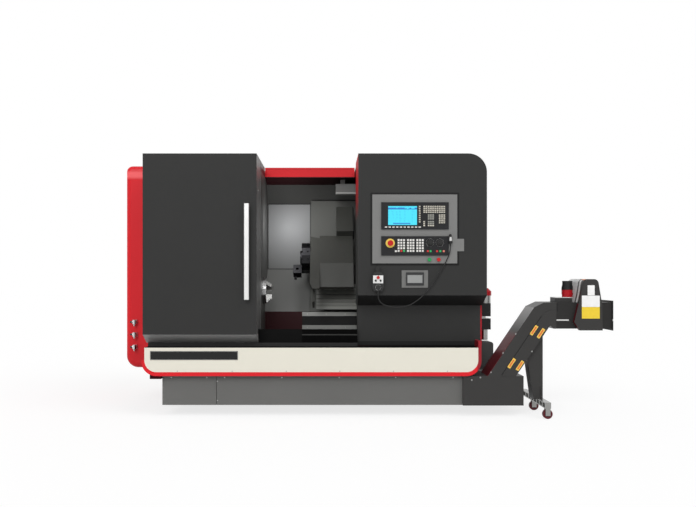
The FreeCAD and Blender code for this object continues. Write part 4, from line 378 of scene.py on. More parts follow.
def paint_machining_area():
    """Sheets of the machining area: light grey back with a painted pool of light, darker hood and slope,
    painted shadow atop the spindle wall, painted shade under the roof, and a guard painted maroon as red
    paint in shade, with steel ways.
    """
    liner = powder_coat("liner_paint", (0.2, 0.203, 0.2), 0.42, 0.05)
    right = layout_box("right_enclosure")[1][0]
    liner.over(liner.box(x=(right - 13, None), y=(None, 534), z=(None, 832)), DARK_RED)
    liner.wear("left_enclosure", "right_enclosure")

    wall = powder_coat("spindle_wall_paint", (0.088, 0.089, 0.086), 0.42, 0.05)
    # Painted shadow: the top of the spindle wall, which lies in shadow, is painted black.
    wall.over(wall.box(z=(1895, None)), BLACK)
    wall.wear("spindle_wall")

    splash = powder_coat("splash_paint", (0.17, 0.173, 0.17), 0.36, 0.05)
    # Painted highlight: a lighter round spot high on the back wall, as the pool of light falling there.
    glow = splash.across(180, 1490).fade(0.42, 0.0)
    splash.over(glow * splash.box(z=(1121, None)), (0.33, 0.338, 0.345))
    splash.over(splash.box(z=(None, 1119)), (0.15, 0.152, 0.146))
    splash.over(splash.box(z=(1119, 1125)), SEAM_BLACK, 0.6)
    splash.over(splash.box(x=(None, 7), z=(1119, None)), (0.03, 0.03, 0.03), 0.6)
    splash.over(splash.box(z=(1693, None)), SEAM_BLACK, 0.6)
    splash.wear("splash_panel")
    hood = powder_coat("hood_paint", (0.064, 0.065, 0.062), 0.42, 0.05)
    # Painted shade on the hood's front part, under the roof beam.
    hood.over(hood.box(y=(None, 998)), painted_roof_shade(hood), 0.6)
    hood.wear("upper_guard")

    # Painted shade: the lower guard's red paint is painted maroon, as it looks deep in the machine's shade.
    guard = powder_coat("guard_red_in_shade", MAROON, 0.5)
    front = layout_box("lower_guard")[0][1]
    guard.over(guard.box(x=(316, None), y=(None, front + 13)), DEEP_BLACK)
    guard.over(guard.box(y=(None, front + 11.5)), (0.33, 0.335, 0.32), 0.35, 0.6)
    guard.wear("lower_guard")

    cast_paint("bed_paint", (0.1, 0.1, 0.095)).wear("slant_bed", "headstock", "saddle")
    brushed_metal("ground_ways", (0.5, 0.5, 0.49), (0.4, 40, 40)).wear("bed_rails")
    cover = powder_coat("saddle_cover_paint", (0.085, 0.087, 0.08), 0.42, 0.06)
    cover.over(cover.place()[2].fade(1.74, 1.2), (0.13, 0.133, 0.124))
    cover.wear("carriage_covers")
    ribs = powder_coat("way_cover_grey", (0.26, 0.263, 0.245), 0.4, 0.05)
    rib_spacing = 31.0
    rib_line = 5.0
    ribs.over((ribs.height() % rib_spacing) < rib_line, (0.11, 0.112, 0.103))
    ribs.wear("way_cover")
    lamp = powder_coat("lamp_case_grey", (0.13, 0.131, 0.127), 0.42, 0.05)
    lamp.over(lamp.box(z=(None, 1779)), STEEL)
    lamp.wear("work_light")


def paint_turret_and_chuck():
    """Olive grey turret with a black right edge, blued disc and tool holders, chromed chuck, steel jaws."""
    housing = cast_paint("turret_paint", (0.042, 0.043, 0.038), 0.45)
    right = layout_box("turret_housing")[1][0]
    housing.over(housing.box(x=(right - 14, None)), BLACK)
    housing.over(housing.place()[2].fade(1.35, 1.05), (0.046, 0.047, 0.042))
    housing.wear("turret_housing")
    brushed_metal("blued_steel", (0.028, 0.028, 0.03), (6, 6, 6), 0.4).wear("turret_disc", "tool_holders")
    brushed_metal("chuck_chrome", (0.74, 0.74, 0.74), (50, 4, 4), 0.16).wear("spindle", "chuck_body")
    brushed_metal("jaw_steel", (0.45, 0.45, 0.44), (4, 50, 4), 0.38).wear(
        "chuck_jaw_1", "chuck_jaw_2", "chuck_jaw_3",
    )


def paint_panel():
    """Grey plate with a black border painted as the shade of the gap round it, black units, yellow ring,
    coloured keys and the small grey display.
    """
    panel = powder_coat("panel_grey", (0.2, 0.2, 0.196), 0.5, 0.06, 0.03)
    # Painted shade: the plate's rim is painted black, as the shaded gap round it.
    beside_tab = 1 - panel.box(z=(1244, 1337))
    panel.over(1 - panel.box(x=(866, None), z=(1153, 1669)), BLACK, 0.6)
    panel.over(panel.box(x=(1502, None)) * beside_tab, BLACK, 0.6)
    panel.wear("control_plate")
    moulded_plastic("display_case", UNIT_BLACK, 0.5, 0.1, 0.15).wear("display_unit")

    unit = moulded_plastic("machine_unit", UNIT_BLACK, 0.5, 0.1, 0.15)
    unit.over(unit.box(y=(None, -17)) * unit.disc(999, 1304, 35), (0.85, 0.62, 0.12), 0.35)
    unit.wear("machine_panel")

    service = moulded_plastic("service_unit", (0.16, 0.16, 0.155))
    service.over(service.box(x=(1112, 1257), y=(None, -6.5), z=(985, 1087)), (0.026, 0.026, 0.027))
    service.over(service.box(x=(1128.5, 1240.5), y=(None, -9.5), z=(1006, 1066)), (0.3, 0.305, 0.3), 0.2)
    service.wear("service_panel")

    keys = moulded_plastic("key_cream", (0.58, 0.55, 0.47))
    legend = keys.noise(420, 2) > 0.56
    keys.over(keys.box(z=(1440, None)) * legend, (0.17, 0.16, 0.14))
    keys.over(keys.box(x=(1278, 1330), z=(1440, 1521)), (0.3, 0.3, 0.27))
    keys.over(keys.box(z=(None, 1430)), (0.74, 0.73, 0.7))
    dyed_row = (1233, 1254)
    dyed_keys = (
        ((0.62, 0.03, 0.03), ((1073, 1090), (1271, 1290), (1340, 1358))),
        ((0.03, 0.42, 0.12), ((1093, 1111), (1291, 1310), (1365, 1383))),
        ((0.75, 0.22, 0.16), ((1390, 1410),)),
    )
    for dye, widths in dyed_keys:
        for width in widths:
            keys.over(keys.box(x=width, z=dyed_row), dye)
    keys.over(keys.box(x=(1394, 1419), z=(1422, 1448)), (0.85, 0.55, 0.05))
    membrane_front = layout_box("panel_keys")[0][1] + 1.7
    keys.over(keys.box(y=(membrane_front, None)), DEEP_BLACK, 0.6)
    keys.wear("panel_keys")

    moulded_plastic("button_red", (0.5, 0.012, 0.012), 0.25).wear("estop_button", "stop_button")
    moulded_plastic("button_green", (0.02, 0.3, 0.08), 0.25).wear("start_button")
    moulded_plastic("knob_black", (0.015, 0.015, 0.015), 0.4).wear(
        "override_knob_left", "override_knob_right",
    )


def paint_pendant():
    """Black handwheel unit with a white face, red cross knob and black selectors."""
    body = moulded_plastic("pendant_plastic", (0.02, 0.02, 0.02), 0.5)
    body.over(body.box(x=(869, 945), y=(None, -40.3), z=(1003, 1063)), (0.8, 0.8, 0.79), 0.4)
    knobs = body.box(y=(None, -42.6))
    body.over(knobs, DEEP_BLACK)
    body.over(knobs * body.box(z=(1034, None)), (0.5, 0.015, 0.015))
    body.wear("pendant_body")
    moulded_plastic("wheel_plastic", (0.02, 0.02, 0.02), 0.4).wear("pendant_wheel")

    plug = moulded_plastic("plug_rubber", DEEP_BLACK, 0.5)
    plug.over(plug.box(z=(1320, 1349)), SILVER, 0.25, 1.0)
    plug.wear("cable_connector")


def paint_fittings():
    """Oil unit in black, steel and red; grey junction box; steel valves with black stubs; zinc feet."""
    unit = powder_coat("oil_unit_paint", DEEP_BLACK, 0.35)
    unit.over(unit.box(z=(None, 545)), (0.05, 0.051, 0.05), 0.45)
    for band, metal in (((545, 634), 1.0), ((721, 739), 1.0), ((842, 903), 0.8)):
        unit.over(unit.box(z=band), STEEL, 0.3, metal)
    unit.over(unit.box(z=(903, None)), (0.4, 0.01, 0.016), 0.3)
    unit.wear("side_units")

    valves = brushed_metal("valve_steel", (0.66, 0.66, 0.66), (1, 1, 9), 0.25)
    valves.over(valves.box(x=(None, -1034.5)), BLACK, 0.5, 0.0)
    valves.wear("air_valves")
    brushed_metal("zinc_steel", ZINC, (1, 1, 12), 0.4).wear("levelling_feet")


INCLINE = math.radians(56)
INCLINE_FOOT = 184


def incline_face(paint, depth=1.5):
    """1 from the upper left face of the conveyor's incline down to a depth in millimetres."""
    x, _, z = paint.place()
    foot = layout_box("conveyor_tank")
    left = at(foot[0][0] + INCLINE_FOOT, 0, foot[1][2])
    off = (x - left.x) * math.sin(INCLINE) - (z - left.z) * math.cos(INCLINE)
    return off < mm(depth)


def paint_conveyor():
    """Charcoal duct whose upper face carries a painted reflection running from pale to maroon, with a painted
    shade line by its side plate; the chain guard's deep part is painted pale as a painted reflection; steel
    parts.
    """
    coat = (0.036, 0.035, 0.034)
    powder_coat("tank_powder_coat", coat, 0.42, 0.06).wear("conveyor_tank")

    duct = powder_coat("duct_powder_coat", coat, 0.38, 0.06)
    height = duct.height()
    # Painted reflection: the incline's upper face is painted pale at the top and maroon at its foot, as it
    # reflects the bright room and the red trim.
    upper = duct.mix(shade(coat, 0.8), (0.36, 0.36, 0.36), height.fade(640, 815))
    lower = duct.mix((0.12, 0.008, 0.014), upper, height.fade(600, 640))
    duct.over(incline_face(duct) * duct.box(z=(306, 822)), lower, 0.35)
    # Painted shade: a dark line where the side plate stands proud of the incline's face.
    edge_shade_near = 81.5
    edge_shade_far = 85.0
    edge_shade = incline_face(duct, edge_shade_far) * (1 - incline_face(duct, edge_shade_near))
    duct.over(edge_shade * duct.box(y=(None, 21), z=(314, 757)), (0.006, 0.006, 0.006), 0.6)
    duct.wear("conveyor_duct")

    head = powder_coat("head_powder_coat", shade(coat, 0.65), 0.42, 0.06, 0.06, 0.15)
    head.over(head.box(x=(2258, 2262), z=(790, 858)), BLACK)
    head.over(head.box(y=(None, 19), z=(720, 734)), SILVER, 0.3, 0.9)
    head.wear("conveyor_head")

    guard = powder_coat("guard_powder_coat", coat, 0.42, 0.06)
    # Painted reflection: the guard's deep part behind its front is painted pale, as its sides show a strong
    # reflection.
    guard.over(guard.box(y=(20.5, None)), (0.75, 0.75, 0.74), 0.4)
    guard.over(guard.box(y=(62, 92)), BLACK)
    guard.over(guard.box(y=(20.5, None), z=(1033, None)), (0.02, 0.02, 0.02))
    guard.over(guard.box(x=(2445, 2520), y=(-19, 60), z=(1028, None)), (0.75, 0.2, 0.02))
    guard.over(guard.box(x=(None, 2428), y=(-19.3, 19.5), z=(660, 850)), (0.09, 0.006, 0.01))
    guard.wear("chain_guard")

    leg = powder_coat("leg_powder_coat", coat, 0.42, 0.06)
    leg.over(leg.box(z=(None, 123)), (0.3, 0.3, 0.29), 0.3, 0.9)
    leg.over(leg.box(x=(2149, 2161), y=(69, 79.8), z=(122, 215)), SILVER, 0.3, 0.9)
    # Painted shadow: the back leg behind the front plate is painted black.
    leg.over(leg.box(x=(None, 2110), y=(81, None), z=(130, None)), BLACK)
    leg.wear("conveyor_leg")

    motor = powder_coat("motor_paint", (0.016, 0.016, 0.016), 0.4)
    motor.over(motor.box(z=(898, 953)), (0.42, 0.008, 0.014), 0.3)
    motor.over(motor.box(z=(None, 893)), coat)
    motor.over(motor.box(z=(893, 898)), SILVER, 0.35, 0.7)
    motor.wear("conveyor_motor")
    brushed_metal("belt_steel", (0.12, 0.12, 0.12), (6, 6, 6), 0.4).wear("slat_belt", "conveyor_drum")

    tyre = moulded_plastic("wheel_rubber", (0.08, 0.004, 0.008), 0.45)
    tyre.over(tyre.disc(2160, 36, 19), (0.03, 0.03, 0.03), 0.4)
    tyre.wear("caster_wheel_front", "caster_wheel_rear")


# ---------------------------------------------------------------- pieces


def keep(name, mesh, paint, body):
    """A finished mesh as a piece that rides on a body."""
    piece = bpy.data.objects.new(name, mesh)
    scene.collection.objects.link(piece)
    if paint is not None:
        paint.wear(piece)
    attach(piece, body)


def arc(centre, radius, first, last, steps=5):
    """Points of an arc in the front view, angles in degrees from +X."""
    return [
        (
            centre[0] + radius * math.cos(math.radians(first + (last - first) * step / steps)),
            centre[1] + radius * math.sin(math.radians(first + (last - first) * step / steps)),
        )
        for step in range(steps + 1)
    ]


def rounded(x, z, radius):
    """Rectangle in the front view with rounded corners."""
    return [
        *arc((x[1] - radius, z[1] - radius), radius, 0, 90),
        *arc((x[0] + radius, z[1] - radius), radius, 90, 180),
        *arc((x[0] + radius, z[0] + radius), radius, 180, 270),
        *arc((x[1] - radius, z[0] + radius), radius, 270, 360),
    ]


def plate(form, outline, y, bevel=0.5):
    """Flat plate on an outline of the front view, from a front to a back depth, its front rim softened."""
    front = [form.verts.new(at(x, y[0], z)) for x, z in outline]
    face = form.faces.new(front)
    back = bmesh.ops.extrude_face_region(form, geom=[face])
    moved = [item for item in back["geom"] if isinstance(item, bmesh.types.BMVert)]
    bmesh.ops.translate(form, verts=moved, vec=Vector((0, mm(y[1] - y[0]), 0)))
    if bevel:
        rim = [edge for edge in form.edges if all(vertex in front for vertex in edge.verts)]
        bmesh.ops.bevel(form, geom=rim, offset=mm(bevel), segments=2, affect="EDGES")


def frame_plate(form, outer, inner, y):
    """Flat ring between two outlines that have the same number of points."""
    rings = []
    for depth in y:
        rings.append([[form.verts.new(at(x, depth, z)) for x, z in outline] for outline in (outer, inner)])
    count = len(outer)
    (front_outer, front_inner), (back_outer, back_inner) = rings
    for index in range(count):
        after = (index + 1) % count
        for a, b in ((front_outer, front_inner), (back_inner, back_outer), (front_inner, back_inner),
                     (back_outer, front_outer)):
            form.faces.new((a[index], a[after], b[after], b[index]))


def mesh_of(name, *steps):
    """Mesh made by running steps on one bmesh; its normals point outwards."""
    form = bmesh.new()
    for step in steps:
        step(form)
    bmesh.ops.recalc_face_normals(form, faces=form.faces)
    mesh = bpy.data.meshes.new(name)
    form.to_mesh(mesh)
    form.free()
    return mesh


def make_nameplate():
    """Bare black plate on the apron, with a thin raised rim and a polished face."""
    x = (-801, -142)
    z = (428, 495)
    face = moulded_plastic("nameplate_gloss", (0.006, 0.006, 0.006), 0.25, 0.02)
    mesh = mesh_of("nameplate", lambda form: plate(form, rounded(x, z, 2), (-1.6, 0)))
    keep("nameplate", mesh, face, "machine")
    rim = brushed_metal("nameplate_rim_steel", (0.35, 0.35, 0.34), (1, 8, 8), 0.35)
    outer = rounded((x[0] + 2, x[1] - 2), (z[0] + 2, z[1] - 2), 2)
    inner = rounded((x[0] + 4, x[1] - 4), (z[0] + 4, z[1] - 4), 1)
    mesh = mesh_of("nameplate_rim", lambda form: frame_plate(form, outer, inner, (-2.0, -1.5)))
    keep("nameplate_rim", mesh, rim, "machine")


def make_plate_surround():
    """Black ring round the control plate, set against the cabinet's face: painted shade of the gap round the
    plate.
    """
    low, high = layout_box("control_plate")
    tab_width = 45
    right = high[0] - tab_width
    gap_shade_ring = moulded_plastic("gap_shade_black", (0.003, 0.003, 0.003), 0.7)
    outer = rounded((low[0] - 8, right + 9), (low[2] - 9, high[2] + 8), 5)
    inner = rounded((low[0] + 1, right - 1), (low[2] + 1, high[2] - 1), 2)
    mesh = mesh_of("plate_surround", lambda form: frame_plate(form, outer, inner, (-2.5, 0)))
    keep("plate_surround", mesh, gap_shade_ring, "machine")


def screen_paint():
    """Lit display: pale cyan ground, two blue bars and faint rows."""
    paint = Paint("screen_lit", (0.01, 0.02, 0.03), 0.15)
    height = paint.height()
    x = paint.place()[0] * 1000
    rows = (height % 11.0 < 2.2) * (paint.noise(70, 2, (1, 1, 0.2)) > 0.5)
    columns = (x % 31.0) < 20.0
    cyan = paint.mix((0.055, 0.8, 1.0), (0.03, 0.5, 0.82), rows * columns)
    header = paint.box(z=(1556, 1570)) * (paint.noise(26, 2) > 0.38)
    footer = paint.box(x=(1020, 1150), z=(1446, 1456))
    lit = paint.mix(cyan, (0.01, 0.2, 0.62), header)
    lit = paint.mix(lit, (0.02, 0.28, 0.7), footer)
    edge = paint.box(x=(984, 1199), z=(1440, 1581))
    lit = paint.mix((0.0, 0.08, 0.12), lit, edge)
    return paint.set(Emission_Color=lit, Emission_Strength=0.95)


def make_screen():
    """Lit display in the upper black unit."""
    x = (982.6, 1200.4)
    z = (1438.6, 1582.4)
    mesh = mesh_of("screen", lambda form: plate(form, rounded(x, z, 3), (-15.2, -13.0)))
    keep("screen", mesh, screen_paint(), "machine")


def slanted_field(centre, length, width, angle):
    """Corners of a field that is turned in the front view."""
    along = Vector((math.cos(angle), math.sin(angle)))
    side = Vector((-along.y, along.x))
    middle = Vector(centre)
    return [
        tuple(middle + along * (length / 2 * i) + side * (width / 2 * j))
        for i, j in ((-1, -1), (1, -1), (1, 1), (-1, 1))
    ]


def make_fields():
    """Bare stickers of the conveyor: four slanted fields, and two white fields over a yellow one."""
    spots = ((2083, 650), (2135, 627), (1915, 402), (1977, 384))
    field_size = (82, 24)
    inlay_size = (62, 11)
    fields = [slanted_field(spot, *field_size, INCLINE) for spot in spots]
    inlays = [slanted_field(spot, *inlay_size, INCLINE) for spot in spots]
    vinyl = moulded_plastic("yellow_vinyl", (0.86, 0.55, 0.1), 0.4, 0.03)
    steps = [lambda form, f=f: plate(form, f, (15.2, 16.0), 0) for f in fields]
    keep("slanted_fields", mesh_of("slanted_fields", *steps), vinyl, "machine")
    orange = moulded_plastic("orange_vinyl", (0.72, 0.16, 0.04), 0.4, 0.03)
    steps = [lambda form, f=f: plate(form, f, (14.8, 15.3), 0) for f in inlays]
    keep("slanted_inlays", mesh_of("slanted_inlays", *steps), orange, "machine")

    guard_front = -20.0
    depths = (guard_front - 0.6, guard_front)
    white = moulded_plastic("white_vinyl", (0.86, 0.86, 0.85), 0.4, 0.03)
    mesh = mesh_of(
        "white_fields",
        lambda form: plate(form, rounded((2474, 2527), (914, 989), 3), depths, 0),
        lambda form: plate(form, rounded((2431, 2565), (827, 912), 3), depths, 0),
    )
    keep("white_fields", mesh, white, "machine")
    yellow = moulded_plastic("bright_yellow_vinyl", (0.83, 0.6, 0.04), 0.4, 0.03)
    mesh = mesh_of(
        "yellow_field", lambda form: plate(form, rounded((2431, 2565), (740, 826), 3), depths, 0),
    )
    keep("yellow_field", mesh, yellow, "machine")


# ---------------------------------------------------------------- repeated fittings by Geometry Nodes


class Recipe:
    """A Geometry Nodes tree with named inputs, run once to give a plain mesh."""

    def __init__(self, name, **inputs):
        self.tree = bpy.data.node_groups.new(name, "GeometryNodeTree")
        self.tree.interface.new_socket("Geometry", in_out="INPUT", socket_type="NodeSocketGeometry")
        self.sockets = {}
        for key, kind in inputs.items():
            made = self.tree.interface.new_socket(key, in_out="INPUT", socket_type=f"NodeSocket{kind}")
            self.sockets[key] = made.identifier
        self.tree.interface.new_socket("Geometry", in_out="OUTPUT", socket_type="NodeSocketGeometry")
        self.given = self.tree.nodes.new("NodeGroupInput")
        self.result = self.tree.nodes.new("NodeGroupOutput")

    def input(self, key):
        return self.given.outputs[key]

    def node(self, kind, settings=None, output=0, **sockets):
        made = self.tree.nodes.new(kind)
        for key, setting in (settings or {}).items():
            setattr(made, key, setting)
        for key, given in sockets.items():
            numbered = key[0] == "i" and key[1:].isdigit()
            socket = made.inputs[int(key[1:]) if numbered else key.replace("_", " ")]
            if isinstance(given, bpy.types.NodeSocket):
                self.tree.links.new(given, socket)
            else:
                socket.default_value = given
        return made.outputs[output]

    def scaled(self, key, factor):
        return self.node("ShaderNodeMath", {"operation": "MULTIPLY"}, i0=self.input(key), i1=factor)

    def join(self, *parts):
        made = self.tree.nodes.new("GeometryNodeJoinGeometry")
        for part in parts:
            self.tree.links.new(part, made.inputs[0])
        return made.outputs[0]

    def end(self, geometry):
        self.tree.links.new(geometry, self.result.inputs[0])

    def run(self, name, points, **values):
        """Plain mesh that the tree makes from a list of points."""
        seed = bpy.data.meshes.new(f"{name}_points")
        seed.from_pydata([tuple(point) for point in points], [], [])
        holder = bpy.data.objects.new(f"{name}_holder", seed)
        scene.collection.objects.link(holder)
        modifier = holder.modifiers.new("recipe", "NODES")
        modifier.node_group = self.tree
        for key, value in values.items():
            modifier[self.sockets[key]] = value
        bpy.context.view_layer.update()
        graph = bpy.context.evaluated_depsgraph_get()
        mesh = bpy.data.meshes.new_from_object(holder.evaluated_get(graph))
        mesh.name = name
        holder.modifiers.remove(modifier)
        bpy.data.objects.remove(holder)
        return mesh


def screw_recipe():
    """Socket screws: a head with a chamfer and a dark hexagon, one on each point."""
    recipe = Recipe("socket_screws", Radius="Float", Turn="Rotation", Steel="Material", Dark="Material")
    head = recipe.node(
        "GeometryNodeMeshCone", None, Vertices=14, Radius_Top=recipe.scaled("Radius", 0.78),
        Radius_Bottom=recipe.input("Radius"), Depth=recipe.scaled("Radius", 0.45),
    )
    hexagon = recipe.node(
        "GeometryNodeMeshCone", None, Vertices=6, Radius_Top=recipe.scaled("Radius", 0.4),
        Radius_Bottom=recipe.scaled("Radius", 0.42), Depth=recipe.scaled("Radius", 0.5),
    )
    head = recipe.node("GeometryNodeSetMaterial", None, Geometry=head, Material=recipe.input("Steel"))
    hexagon = recipe.node("GeometryNodeSetMaterial", None, Geometry=hexagon, Material=recipe.input("Dark"))
    placed = recipe.node(
        "GeometryNodeInstanceOnPoints", None, Points=recipe.input("Geometry"),
        Instance=recipe.join(head, hexagon), Rotation=recipe.input("Turn"),
    )
    recipe.end(recipe.node("GeometryNodeRealizeInstances", None, Geometry=placed))
    return recipe


def ring_recipe():
    """Small blocks in a ring round each point, one long side towards the middle."""
    recipe = Recipe(
        "block_ring", Count="Int", Radius="Float", Size="Vector", Turn="Rotation", Finish="Material",
    )
    ring = recipe.node(
        "GeometryNodeMeshCircle", None, Vertices=recipe.input("Count"), Radius=recipe.input("Radius"),
    )
    index = recipe.node("GeometryNodeInputIndex")
    part = recipe.node("ShaderNodeMath", {"operation": "DIVIDE"}, i0=index, i1=recipe.input("Count"))
    angle = recipe.node("ShaderNodeMath", {"operation": "MULTIPLY"}, i0=part, i1=math.tau)
    turn = recipe.node("ShaderNodeCombineXYZ", None, Z=angle)
    block = recipe.node("GeometryNodeMeshCube", None, Size=recipe.input("Size"))
    blocks = recipe.node("GeometryNodeInstanceOnPoints", None, Points=ring, Instance=block, Rotation=turn)
    placed = recipe.node(
        "GeometryNodeInstanceOnPoints", None, Points=recipe.input("Geometry"), Instance=blocks,
        Rotation=recipe.input("Turn"),
    )
    real = recipe.node("GeometryNodeRealizeInstances", None, Geometry=placed)
    recipe.end(recipe.node("GeometryNodeSetMaterial", None, Geometry=real, Material=recipe.input("Finish")))
    return recipe


def row_recipe():
    """A row of tilted blades from each point along a step."""
    recipe = Recipe(
        "blade_row", Count="Int", Step="Vector", Size="Vector", Tilt="Rotation", Finish="Material",
    )
    line = recipe.node("GeometryNodeMeshLine", None, Count=recipe.input("Count"), Offset=recipe.input("Step"))
    blade = recipe.node("GeometryNodeMeshCube", None, Size=recipe.input("Size"))
    blades = recipe.node(
        "GeometryNodeInstanceOnPoints", None, Points=line, Instance=blade, Rotation=recipe.input("Tilt"),
    )
    placed = recipe.node(
        "GeometryNodeInstanceOnPoints", None, Points=recipe.input("Geometry"), Instance=blades,
    )
    real = recipe.node("GeometryNodeRealizeInstances", None, Geometry=placed)
    recipe.end(recipe.node("GeometryNodeSetMaterial", None, Geometry=real, Material=recipe.input("Finish")))
    return recipe


FACING_FRONT = (math.radians(90), 0, 0)
FACING_BACK = (math.radians(-90), 0, 0)
FACING_RIGHT = (0, math.radians(90), 0)
FACING_LEFT = (0, math.radians(-90), 0)


def make_screws():
    """Socket screws and the back doors' latches, in groups by body and by the way they face."""
    steel = brushed_metal("screw_steel", (0.6, 0.6, 0.59), (30, 30, 30), 0.3).finish()
    dark = moulded_plastic("screw_socket_black", (0.006, 0.006, 0.006), 0.6).finish()
    recipe = screw_recipe()

    def screws(name, body, turn, radius, spots):
        points = [at(*spot) for spot in spots]
        mesh = recipe.run(name, points, Radius=mm(radius), Turn=turn, Steel=steel, Dark=dark)
        keep(name, mesh, None, body)

    screws("apron_screws", "machine", FACING_FRONT, 5, [
        (x, 0, 344) for x in (-596, -185, 221, 622, 1025, 1429)
    ])
    screws("plinth_screws", "machine", FACING_FRONT, 5, [
        *((x, 50, 291) for x in (-651, -383, -248, 185, 619, 1046, 1480)), (-303, 50, 262), (-303, 50, 117),
    ])
    screws("tank_screws", "machine", FACING_FRONT, 6, [(1615, 20, 276), (1680, 20, 295)])
    screws("duct_screws", "machine", FACING_FRONT, 6, [
        (1946, 20, 622), (1850, 20, 479), (1760, 20, 334), (2067, 16, 491),
    ])
    screws("door_screws", "door", FACING_RIGHT, 5, [(-2, 148, 1715), (-2, 240, 1266), (-2, 300, 814)])
    front = layout_box("lower_guard")[0][1]
    screws("way_screws", "machine", FACING_FRONT, 5, [
        (x, front, z) for z in (736.5, 624.5) for x in range(360, 1400, 160)
    ])
    cover_left = layout_box("left_end_cover")[0][0]
    screws("hatch_screws", "machine", FACING_LEFT, 6, [
        (cover_left, y, z) for y in (535, 865, 1190, 1515) for z in (700, 1332)
    ])
    back = layout_box("left_enclosure")[1][1]
    screws("back_door_latches", "machine", FACING_BACK, 14, [
        (x, back, z) for x in (-125, 783, 1601) for z in (900, 1264, 1628)
    ])


def make_dials():
    """Scale marks round the two override knobs, the wheel's graduations and the motor's fins."""
    recipe = ring_recipe()
    marks = moulded_plastic("scale_mark_white", (0.62, 0.62, 0.6), 0.5).finish()
    knobs = [at(1296, -16.1, 1308), at(1369, -16.1, 1308)]
    mesh = recipe.run(
        "knob_scales", knobs, Count=24, Radius=mm(29), Size=(mm(3.6), mm(0.9), mm(0.5)), Turn=FACING_FRONT,
        Finish=marks,
    )
    keep("knob_scales", mesh, None, "machine")
    mesh = recipe.run(
        "wheel_scale", [at(907, -52.1, 973)], Count=40, Radius=mm(20.5),
        Size=(mm(3), mm(0.7), mm(0.5)), Turn=FACING_FRONT, Finish=marks,
    )
    keep("wheel_scale", mesh, None, "handwheel")
    fins = powder_coat("fin_paint", (0.02, 0.02, 0.02), 0.4).finish()
    mesh = recipe.run(
        "motor_fins", [at(2367, 130, 967)], Count=30, Radius=mm(38.5), Size=(mm(5), mm(1.8), mm(32)),
        Turn=(0, 0, 0), Finish=fins,
    )
    keep("motor_fins", mesh, None, "machine")


def make_louvres():
    """Louvre blades in the slots of the three doors at the back."""
    recipe = row_recipe()
    blade = powder_coat("louvre_paint", SHEET_GREY, 0.45).finish()
    back = layout_box("left_enclosure")[1][1]
    starts = [at(x, back - 1.4, 1731.5) for x in (-427, 454, 1272)]
    mesh = recipe.run(
        "louvre_blades", starts, Count=8, Step=(0, 0, -mm(30)), Size=(mm(216), mm(1.2), mm(8)),
        Tilt=(math.radians(14), 0, 0), Finish=blade,
    )
    keep("louvre_blades", mesh, None, "machine")


# ---------------------------------------------------------------- pendant cable

CABLE_STEPS = (
    (0, 0, 0), (0, 0, -34), (22, -2, -68), (71, -4, -91), (149, -4, -101), (231, -3, -87), (303, -2, -43),
    (366, 0, 21), (421, 1, 92), (469, 2, 169), (509, 2, 245), (541, 0, 317), (541, 0, 377),
)
CABLE_START = at(907, -28.8, 923)


def make_cable():
    """The pendant's cable as one free cord, from under the pendant to its connector."""
    curve = bpy.data.curves.new("cable", "CURVE")
    curve.dimensions = "3D"
    spline = curve.splines.new("NURBS")
    spline.points.add(len(CABLE_STEPS) - 1)
    for point, step in zip(spline.points, CABLE_STEPS):
        point.co = (*(CABLE_START + Vector(step) / 1000), 1)
    spline.order_u = 3
    spline.use_endpoint_u = True
    curve.resolution_u = 12
    curve.bevel_depth = 0.004
    curve.bevel_resolution = 4
    curve.use_fill_caps = True
    cable = bpy.data.objects.new("pendant_cord", curve)
    scene.collection.objects.link(cable)
    moulded_plastic("cable_rubber", DEEP_BLACK, 0.55, 0.15).wear(cable)
    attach(cable, "machine")
    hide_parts("pendant_cable")


# ---------------------------------------------------------------- room and light


def seen_directly(paint_tree):
    """1 for rays from the camera, from gloss and through glass."""
    rays = paint_tree.nodes.new("ShaderNodeLightPath")
    total = rays.outputs["Is Camera Ray"]
    for name in ("Is Glossy Ray", "Is Transmission Ray"):
        larger = paint_tree.nodes.new("ShaderNodeMath")
        larger.operation = "MAXIMUM"
        paint_tree.links.new(total, larger.inputs[0])
        paint_tree.links.new(rays.outputs[name], larger.inputs[1])
        total = larger.outputs[0]
    return total


FLOOR_GLOW = 0.68


def make_floor():
    """Pale floor: part of what the camera sees of it is its own white, the rest takes light and shadow."""
    mesh = bpy.data.meshes.new("floor")
    mesh.from_pydata([(-40, -40, 0), (40, -40, 0), (40, 40, 0), (-40, 40, 0)], [], [(0, 1, 2, 3)])
    floor = bpy.data.objects.new("floor", mesh)
    scene.collection.objects.link(floor)
    material = bpy.data.materials.new("floor_white")
    material.use_nodes = True
    tree = material.node_tree
    tree.nodes.clear()
    output = tree.nodes.new("ShaderNodeOutputMaterial")
    matte = tree.nodes.new("ShaderNodeBsdfDiffuse")
    matte.inputs["Color"].default_value = (0.88, 0.88, 0.88, 1)
    glow = tree.nodes.new("ShaderNodeEmission")
    glow.inputs["Color"].default_value = (1, 1, 1, 1)
    glow.inputs["Strength"].default_value = 1.12
    share = tree.nodes.new("ShaderNodeMath")
    share.operation = "MULTIPLY"
    share.inputs[1].default_value = FLOOR_GLOW
    tree.links.new(seen_directly(tree), share.inputs[0])
    blend = tree.nodes.new("ShaderNodeMixShader")
    tree.links.new(share.outputs[0], blend.inputs[0])
    tree.links.new(matte.outputs[0], blend.inputs[1])
    tree.links.new(glow.outputs[0], blend.inputs[2])
    tree.links.new(blend.outputs[0], output.inputs[0])
    mesh.materials.append(material)


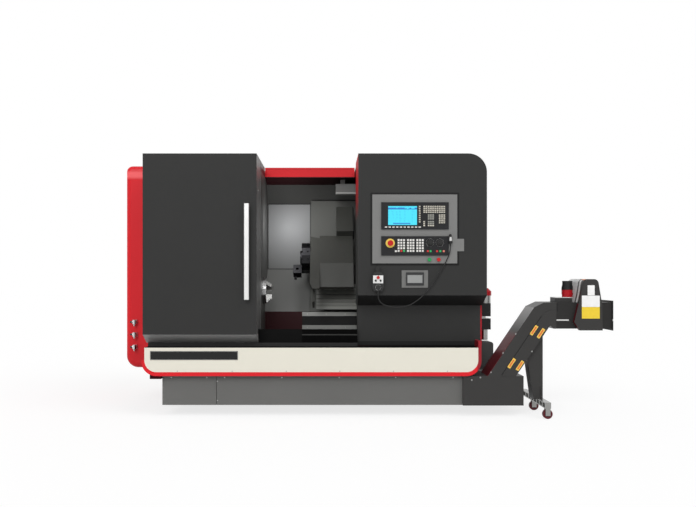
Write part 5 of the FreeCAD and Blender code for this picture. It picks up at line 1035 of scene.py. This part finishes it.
def make_world():
    """White where it is seen directly, dimmer as a light on the object."""
    world = bpy.data.worlds.new("studio")
    scene.world = world
    world.use_nodes = True
    tree = world.node_tree
    tree.nodes.clear()
    output = tree.nodes.new("ShaderNodeOutputWorld")
    soft = tree.nodes.new("ShaderNodeBackground")
    soft.inputs["Color"].default_value = (1, 1, 1, 1)
    soft.inputs["Strength"].default_value = 0.45
    white = tree.nodes.new("ShaderNodeBackground")
    white.inputs["Color"].default_value = (1, 1, 1, 1)
    white.inputs["Strength"].default_value = 1.0
    blend = tree.nodes.new("ShaderNodeMixShader")
    tree.links.new(seen_directly(tree), blend.inputs[0])
    tree.links.new(soft.outputs[0], blend.inputs[1])
    tree.links.new(white.outputs[0], blend.inputs[2])
    tree.links.new(blend.outputs[0], output.inputs[0])


def make_sun(name, azimuth, elevation, strength, softness):
    """Broad studio light from far away; azimuth 0 is straight from the front, positive from the right."""
    lamp = bpy.data.lights.new(name, "SUN")
    lamp.energy = strength * math.pi
    lamp.angle = math.radians(softness)
    holder = bpy.data.objects.new(name, lamp)
    turn = math.radians(azimuth)
    rise = math.radians(elevation)
    towards = Vector((-math.sin(turn) * math.cos(rise), math.cos(turn) * math.cos(rise), -math.sin(rise)))
    holder.rotation_euler = towards.to_track_quat("-Z", "Y").to_euler()
    scene.collection.objects.link(holder)


def make_area(name, place, target, size, power):
    """Small round light at a place, aimed at a target."""
    lamp = bpy.data.lights.new(name, "AREA")
    lamp.shape = "DISK"
    lamp.size = size
    lamp.energy = power
    holder = bpy.data.objects.new(name, lamp)
    holder.location = place
    holder.rotation_euler = (target - place).to_track_quat("-Z", "Y").to_euler()
    scene.collection.objects.link(holder)


make_cable()

paint_door()
paint_cabinet()
paint_body()
paint_machining_area()
paint_turret_and_chuck()
paint_panel()
paint_pendant()
paint_fittings()
paint_conveyor()

make_nameplate()
make_plate_surround()
make_screen()
make_fields()
make_screws()
make_dials()
make_louvres()

make_floor()
make_world()
make_sun("front_light", -12, 30, 0.42, 30)
make_sun("right_light", 48, 50, 0.24, 40)
make_area("work_light_glow", at(180, 560, 1500), at(180, 1000, 1490), 0.2, 1.5)
